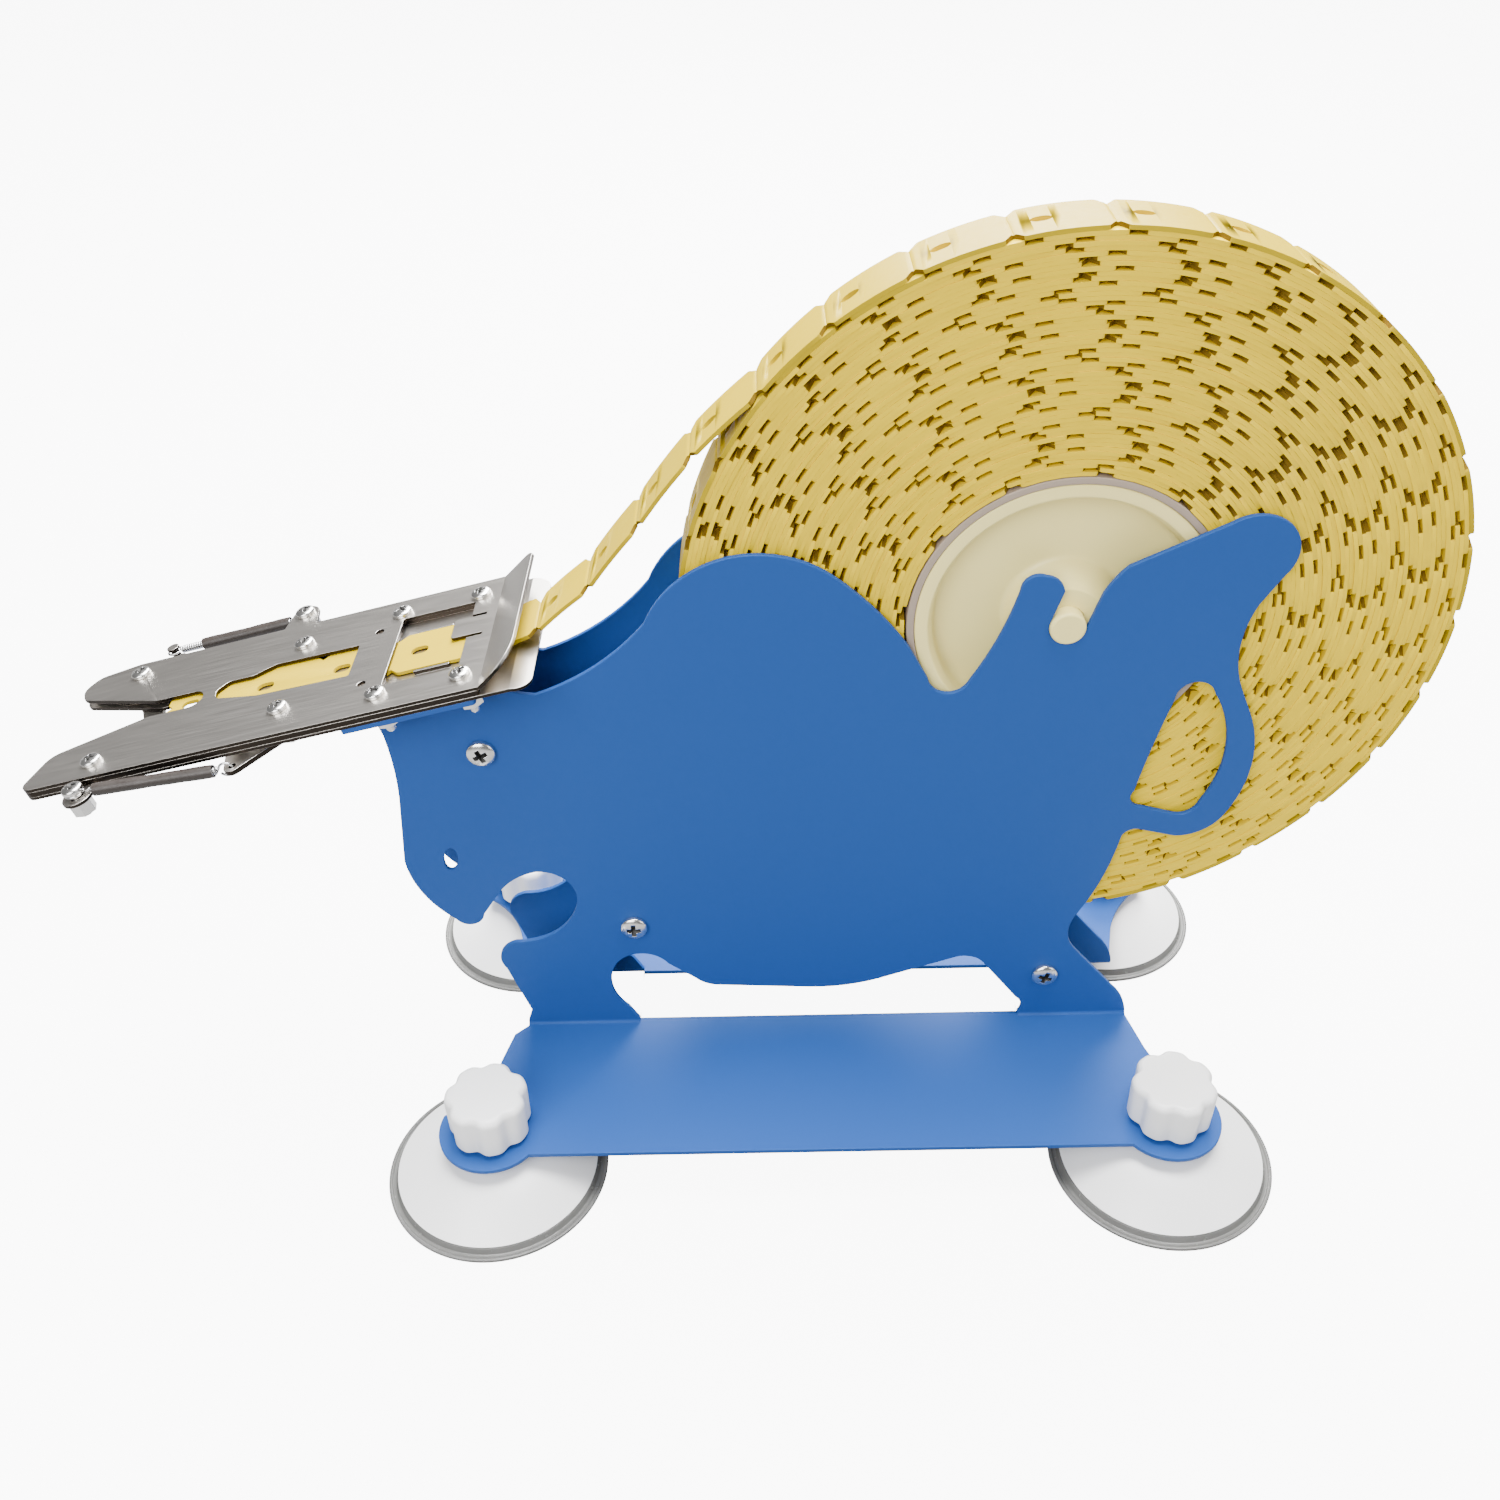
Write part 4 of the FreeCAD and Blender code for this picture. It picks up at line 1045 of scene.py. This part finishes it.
@dataclass
class FreeStrip:
    """Stretch of ties between the head and the roll, creased at its joints.

    Attributes:
        stock: The ties.
        kinks: Joints of the strip, from head to roll, as offsets from the axle.
        first_tie: Distance from a front joint at which the stretch starts.
        last_tie: Distance from a front joint at which it ends.
    """

    stock: TieStock = field(default_factory=TieStock)
    kinks: tuple[tuple[float, float], ...] = (
        (-136.5 * MM, -0.5 * MM), (-122.17 * MM, 12.11 * MM), (-108.3 * MM, 29.83 * MM),
        (-94.5 * MM, 47.63 * MM))
    first_tie: float = 9.4 * MM
    last_tie: float = 22.5 * MM

    def build(self, reel: TieReel) -> None:
        """Build the stretch between the frame and the axle.

        Args:
            reel: The reel that it leaves.
        """
        axle = middle("axle_rod")
        low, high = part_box("tie_strip_span")
        angle = math.radians(reel.leave)
        rim = extent("tie_roll").z / 2 + reel.lift
        entry = Vector((low[0] + 0.15 * MM, 0.0, low[2] + 0.5 * MM))
        last = axle + Vector((math.cos(angle), 0.0, math.sin(angle))) * rim
        route = [entry] + [axle + Vector((x, 0.0, z)) for x, z in self.kinks] + [last]
        cuts: list[tuple[Vector, Vector, float, float]] = []
        for index in range(len(route) - 1):
            start, end = route[index], route[index + 1]
            first = self.first_tie if index == 0 else 0.0
            final = self.last_tie if index == len(route) - 2 else self.stock.pitch
            marks = [first] + [m for m in self.stock.stations(True) if first < m < final] + [final]
            heading = (end - start).normalized()
            normal = Vector((-heading.z, 0.0, heading.x))
            for mark in marks:
                t = (mark - first) / (final - first)
                bow = math.sin(math.pi * t) * 0.35 * MM
                sway = math.sin(1.7 * index + t) * 0.4 * MM
                cuts.append((start.lerp(end, t) + normal * bow, normal, mark, sway))
        # the free strip takes the darker tie yellow, painted shade against the light from above
        strip = self.stock.ribbon("free_strip", cuts, True, SHADED_TIE_YELLOW)
        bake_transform(strip)
        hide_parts("tie_strip_span")
        LOG.info("built %s", strip.name)


# ------------------------------------------------------------------ head


@dataclass
class HeadPlane:
    """Tilted plane of the tying head, found from the gate's pivot.

    Attributes:
        pivot: Where the gate's joint lies, in head measures.
    """

    pivot: tuple[float, float, float] = (110.3 * MM, 20.4 * MM, -4.75 * MM)

    def up(self) -> Vector:
        """Direction square to the head's plates."""
        return Vector(joint_named("gate_swing")["axis"]).normalized()

    def at(self, along: float, across: float, height: float) -> Vector:
        """Find a place on the head.

        Args:
            along: Distance from the bend line toward the nose.
            across: Distance from the middle line, far side positive.
            height: Height above the top plate.

        Returns:
            The place in the machine's frame.
        """
        up = self.up()
        toward = Vector((-up.z, 0.0, up.x))
        origin = Vector(joint_named("gate_swing")["pos_m"])
        return (origin + toward * (along - self.pivot[0]) + Vector((0, across - self.pivot[1], 0))
                + up * (height - self.pivot[2]))


@dataclass
class SleevedSpring:
    """Close-wound spring in a soft sleeve, from a post to a lever's hook.

    Attributes:
        name: Name of the spring.
        body: Body of the lever that it pulls; not used.
        post: Post in head measures.
        hook: Middle of the hook's hole in head measures.
        sleeve: Distances from the post at which the sleeve starts and ends.
        coil_r: Radius of the coil's middle line.
        wire_r: Radius of the wire.
        sleeve_r: Outer radius of the sleeve.
        flat_ring: True when the ring lies flat around an upright pin.
    """

    name: str
    body: str
    post: tuple[float, float, float]
    hook: tuple[float, float, float]
    sleeve: tuple[float, float]
    coil_r: float = 0.85 * MM
    wire_r: float = 0.33 * MM
    sleeve_r: float = 1.75 * MM
    flat_ring: bool = False

    def build(self, plane: HeadPlane) -> None:
        """Build the wire and the sleeve.

        Args:
            plane: Plane of the head.
        """
        start, end = plane.at(*self.post), plane.at(*self.hook)
        wire = self._wire(start, end, plane.up())
        tube = self._tube(start, end)
        for piece, node in ((wire, self.name), (tube, f"{self.name}_sleeve")):
            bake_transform(piece)
            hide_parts(node)
            LOG.info("built %s", piece.name)

    def _wire(self, start: Vector, end: Vector, up: Vector) -> bpy.types.Object:
        """Build the wound wire with a loop at the post and a ring at the hook.

        Args:
            start: Middle of the post.
            end: Middle of the hook's hole.
            up: Direction square to the head.

        Returns:
            The wire.
        """
        run = end - start
        length = run.length
        along = run.normalized()
        side = along.cross(up).normalized()
        rise = side.cross(along).normalized()
        loop_r, ring_r = 2.3 * MM, 1.9 * MM
        first = 5.0 * MM
        last = length - (1 if self.flat_ring else 2) * ring_r - 0.6 * MM
        path: list[Vector] = []
        for k in range(25):
            turn = math.radians(-330 + 330 * k / 24)
            path.append(around(start, along, side, loop_r, turn))
        path.append(start + along * (loop_r + 1.4 * MM))
        turns = int((last - first) / (self.wire_r * 2.15))
        for k in range(turns * 10 + 1):
            turn = 2 * math.pi * k / 10
            spot = start + along * (first + (last - first) * k / (turns * 10))
            path.append(around(spot, rise, side, self.coil_r, turn))
        centre = end if self.flat_ring else end - along * ring_r
        across = side if self.flat_ring else rise
        for k in range(25):
            turn = math.radians(180 - 330 * k / 24)
            path.append(around(centre, along, across, ring_r, turn))
        return sweep(f"{self.name}_wire", path, self.wire_r, SPRING_WIRE, 8)

    def _tube(self, start: Vector, end: Vector) -> bpy.types.Object:
        """Build the soft sleeve, slightly uneven along its length.

        Args:
            start: Middle of the post.
            end: Middle of the hook's hole.

        Returns:
            The sleeve.
        """
        first, last = self.sleeve
        bore = self.sleeve_r - 0.4 * MM
        count = 28
        outer = []
        for k in range(count + 1):
            t = k / count
            swell = 0.05 * MM * math.sin(9.0 * t) + 0.03 * MM * math.sin(23.0 * t)
            outer.append((self.sleeve_r - 0.05 * MM + swell, first + (last - first) * t))
        outline = [(bore, first + 0.1 * MM), (bore + 0.15 * MM, first)] + outer
        outline += [(bore + 0.15 * MM, last), (bore, last - 0.1 * MM)]
        tube = lathe(f"{self.name}_tube", outline, SLEEVE_TUBE, segments=32)
        turn = (end - start).to_track_quat("Z", "Y").to_matrix().to_4x4()
        return placed(tube, Matrix.Translation(start) @ turn)


def sweep(name: str, path: Sequence[Vector], radius: float, finish: Finish,
          sides: int) -> bpy.types.Object:
    """Draw a round wire along a path.

    Args:
        name: Name of the piece.
        path: Points of its middle line.
        radius: Radius of the wire.
        finish: Finish of the wire.
        sides: Number of sides of its section.

    Returns:
        The wire, with closed ends.
    """
    verts: list[Vector] = []
    faces: list[tuple[int, ...]] = []
    heading = (path[1] - path[0]).normalized()
    across = heading.orthogonal().normalized()
    for k, spot in enumerate(path):
        ahead = path[min(k + 1, len(path) - 1)] - path[max(k - 1, 0)]
        turned = ahead.normalized()
        across = (across - turned * across.dot(turned)).normalized()
        third = turned.cross(across)
        for i in range(sides):
            angle = 2 * math.pi * i / sides
            verts.append(around(spot, across, third, radius, angle))
    for k in range(len(path) - 1):
        for i in range(sides):
            j = (i + 1) % sides
            a, b = k * sides, (k + 1) * sides
            faces.append((a + i, a + j, b + j, b + i))
    faces.append(tuple(range(sides - 1, -1, -1)))
    faces.append(tuple(range((len(path) - 1) * sides, len(path) * sides)))
    return mesh_object(name, verts, faces, finish, crease=60.0)


@dataclass
class TyingHead:
    """Forked head: plates, rails, levers, springs and their fasteners.

    Attributes:
        plane: Plane of the head.
        clamps: Places of the four bracket screws.
        plate_clamps: Places of the two plate screws.
        screw: Head radius, head height and shank radius of a head screw.
    """

    plane: HeadPlane = field(default_factory=HeadPlane)
    clamps: tuple[tuple[float, float], ...] = (
        (6.2, -19.5), (6.2, 19.5), (29.5, -19.5), (29.5, 19.5))
    plate_clamps: tuple[tuple[float, float], ...] = ((58.0, 15.3), (110.3, -20.4))
    screw: tuple[float, float, float] = (2.8 * MM, 1.8 * MM, 1.5 * MM)

    def build(self) -> None:
        """Dress the plates and build screws and springs."""
        dress(["head_top_plate", "head_lower_plate"], BRUSHED_STEEL, edge=0.12 * MM)
        dress(["channel_rail_near", "channel_rail_far", "gate_lever", "index_lever"], BRUSHED_STEEL,
              edge=0.12 * MM)
        dress(["bracket_clamp_nuts", "plate_clamp_nuts", "gate_pivot_nut", "index_pivot_nut",
               "gate_spring_post_nut", "index_spring_post_nut", "gate_pivot_bush",
               "index_pivot_bush"],
              BRIGHT_ZINC, edge=0.15 * MM)
        # the ties in the head take the darker tie yellow, painted shade against the light from above
        dress(["tie_strip_head"], SHADED_TIE_YELLOW, edge=0.1 * MM)
        self._screws("bracket_clamp_screws", self.clamps, 0.0, 11.3 * MM)
        self._screws("plate_clamp_screws", self.plate_clamps, 0.0, 6.9 * MM)
        self._screws("gate_pivot_screw", ((110.3, 20.4),), 0.0, 9.1 * MM)
        self._screws("index_pivot_screw", ((58.0, -15.3),), 0.0, 10.3 * MM)
        self._screws("gate_spring_post", ((62.5, 33.4),), 0.0, 5.5 * MM)
        self._screws("index_spring_post", ((112.0, -31.0),), -0.8 * MM, 7.7 * MM)
        springs = (
            SleevedSpring("gate_spring", "gate", (62.5 * MM, 33.4 * MM, -1.6 * MM),
                          (105.0 * MM, 33.0 * MM, -1.6 * MM), (5.4 * MM, 33.0 * MM), flat_ring=True),
            SleevedSpring("index_spring", "index", (112.0 * MM, -31.0 * MM, -1.4 * MM),
                          (69.5 * MM, -29.3 * MM, -5.95 * MM), (5.4 * MM, 37.5 * MM)))
        for spring in springs:
            spring.build(self.plane)

    def _screws(self, node: str, places: Sequence[tuple[float, float]], seat: float,
                length: float) -> None:
        """Build the screws of one node.

        Args:
            node: CAD node that they replace.
            places: Places on the head in millimetres.
            seat: Height of the heads' undersides.
            length: Length of the shanks.
        """
        seats = [self.plane.at(s * MM, v * MM, seat) for s, v in places]
        head_r, head_h, shank_r = self.screw
        PanScrews(node, head_r, head_h, shank_r, length, seats, self.plane.up()).build()


@dataclass
class BullFrame:
    """Two bent side plates, the head's bracket, spacers and screws.

    Attributes:
        screw: Head radius, head height and shank radius of a frame screw.
        shank: Length of the shanks.
    """

    screw: tuple[float, float, float] = (4.0 * MM, 2.4 * MM, 2.0 * MM)
    shank: float = 7.5 * MM

    def build(self) -> None:
        """Dress the sheet metal and build the screws."""
        dress(["side_plate_near", "side_plate_far", "head_bracket"], BLUE_POWDER, edge=0.22 * MM)
        dress(["spacer_tubes"], BRIGHT_ZINC, edge=0.2 * MM)
        for side, node in ((-1, "frame_screws_near"), (1, "frame_screws_far")):
            self._screws(side, node)

    def _screws(self, side: int, node: str) -> None:
        """Build the three screws of one side.

        Args:
            side: -1 for near, 1 for far.
            node: CAD node that they replace.
        """
        offset = middle("axle_rod") - Vector((61.3 * MM, 0.0, 162.7 * MM))
        seat = abs(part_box(node)[0 if side < 0 else 1][1]) - self.screw[1]
        places = ((-93.6, 126.7), (-56.7, 60.3), (67.9, 37.0))
        seats = [Vector((x * MM + offset.x, side * seat, z * MM)) for x, z in places]
        PanScrews(node, *self.screw, self.shank, seats, Vector((0.0, side, 0.0))).build()


# ------------------------------------------------------------------ studio


@dataclass
class Studio:
    """Pale floor, soft lights and the camera.

    Attributes:
        eye: Place of the camera.
        yaw: Turn of the view about the upright, in degrees.
        pitch: Downward tilt in degrees.
        roll: Roll in degrees.
        lens: Focal length in millimetres on a 36 mm sensor.
        floor_glow: Light that the floor adds toward the camera.
    """

    eye: tuple[float, float, float] = (0.00905, -0.325109, 0.364607)
    yaw: float = -0.659
    pitch: float = 37.32
    roll: float = -1.543
    lens: float = 34.885
    floor_glow: float = 9.0

    def build(self) -> None:
        """Build floor, world, lights and camera."""
        self._floor()
        self._world()
        self._light("key", (-0.45, -0.95, 0.85), 0.9, 25.0)
        self._light("top", (0.10, 0.25, 1.40), 1.0, 100.0)
        self._light("back", (0.10, 1.15, 0.95), 0.8, 60.0)
        self._light("side", (1.1, -0.5, 0.65), 0.7, 6.0)
        self._camera()

    def _floor(self) -> None:
        """Build the pale floor."""
        half = 3.0
        corners = [(-half, -half, 0.0), (half, -half, 0.0), (half, half, 0.0), (-half, half, 0.0)]
        finish = Finish("pale_floor", "white_plastic", (0.20, 0.20, 0.20), (0.22, 0.22, 0.22),
                        rough=(0.6, 0.7), relief=0.00001)
        mesh = bpy.data.meshes.new("floor")
        mesh.from_pydata(corners, [], [(0, 1, 2, 3)])
        mesh.materials.append(self._lit(finish.build()))
        floor = bpy.data.objects.new("floor", mesh)
        bpy.context.scene.collection.objects.link(floor)

    def _lit(self, material: bpy.types.Material) -> bpy.types.Material:
        """Let the floor glow where the camera sees it, so that it reads as white.

        Args:
            material: Material of the floor.

        Returns:
            The same material.
        """
        nodes, links = material.node_tree.nodes, material.node_tree.links
        shader = nodes["Principled BSDF"]
        shader.inputs["Emission Color"].default_value = (1.0, 1.0, 1.0, 1.0)
        path = nodes.new("ShaderNodeLightPath")
        glow = nodes.new("ShaderNodeMath")
        glow.operation = "MULTIPLY"
        glow.inputs[1].default_value = self.floor_glow
        links.new(path.outputs["Is Camera Ray"], glow.inputs[0])
        links.new(glow.outputs["Value"], shader.inputs["Emission Strength"])
        return material

    def _world(self) -> None:
        """Light the room evenly with white."""
        world = bpy.data.worlds.new("studio")
        world.use_nodes = True
        world.node_tree.nodes["Background"].inputs["Color"].default_value = (1.0, 1.0, 1.0, 1.0)
        world.node_tree.nodes["Background"].inputs["Strength"].default_value = 0.22
        bpy.context.scene.world = world

    def _light(self, name: str, place: tuple[float, float, float], size: float,
               power: float) -> None:
        """Add one soft area light that faces the machine.

        Args:
            name: Name of the light.
            place: Where it stands.
            size: Side of its square.
            power: Its power in watts.
        """
        lamp = bpy.data.lights.new(name, "AREA")
        lamp.size = size
        lamp.energy = power
        holder = bpy.data.objects.new(name, lamp)
        holder.location = place
        aim = Vector((0.0, 0.0, 0.1)) - Vector(place)
        holder.rotation_euler = aim.to_track_quat("-Z", "Y").to_euler()
        bpy.context.scene.collection.objects.link(holder)

    def _camera(self) -> None:
        """Set the camera in front of the machine, looking down at it."""
        yaw, pitch, roll = (math.radians(a) for a in (self.yaw, self.pitch, self.roll))
        level = math.cos(pitch)
        ahead = Vector((math.sin(yaw) * level, math.cos(yaw) * level, -math.sin(pitch)))
        right = Vector((math.cos(yaw), -math.sin(yaw), 0.0))
        up = right.cross(ahead)
        right_rolled = right * math.cos(roll) + up * math.sin(roll)
        up_rolled = up * math.cos(roll) - right * math.sin(roll)
        lens = bpy.data.cameras.new("camera")
        lens.lens = self.lens
        lens.sensor_width = 36.0
        lens.clip_start = 0.01
        holder = bpy.data.objects.new("camera", lens)
        basis = Matrix((right_rolled, up_rolled, -ahead)).transposed()
        holder.matrix_world = Matrix.Translation(Vector(self.eye)) @ basis.to_4x4()
        bpy.context.scene.collection.objects.link(holder)
        bpy.context.scene.camera = holder


def main() -> None:
    """Build the machine's looks, piece by piece."""
    logging.basicConfig(level=logging.INFO, format="%(name)s: %(message)s")
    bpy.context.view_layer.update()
    BullFrame().build()
    SuctionFeet().build()
    reel = TieReel()
    reel.build()
    FreeStrip().build(reel)
    TyingHead().build()
    Studio().build()


if __name__ == "__main__":
    main()
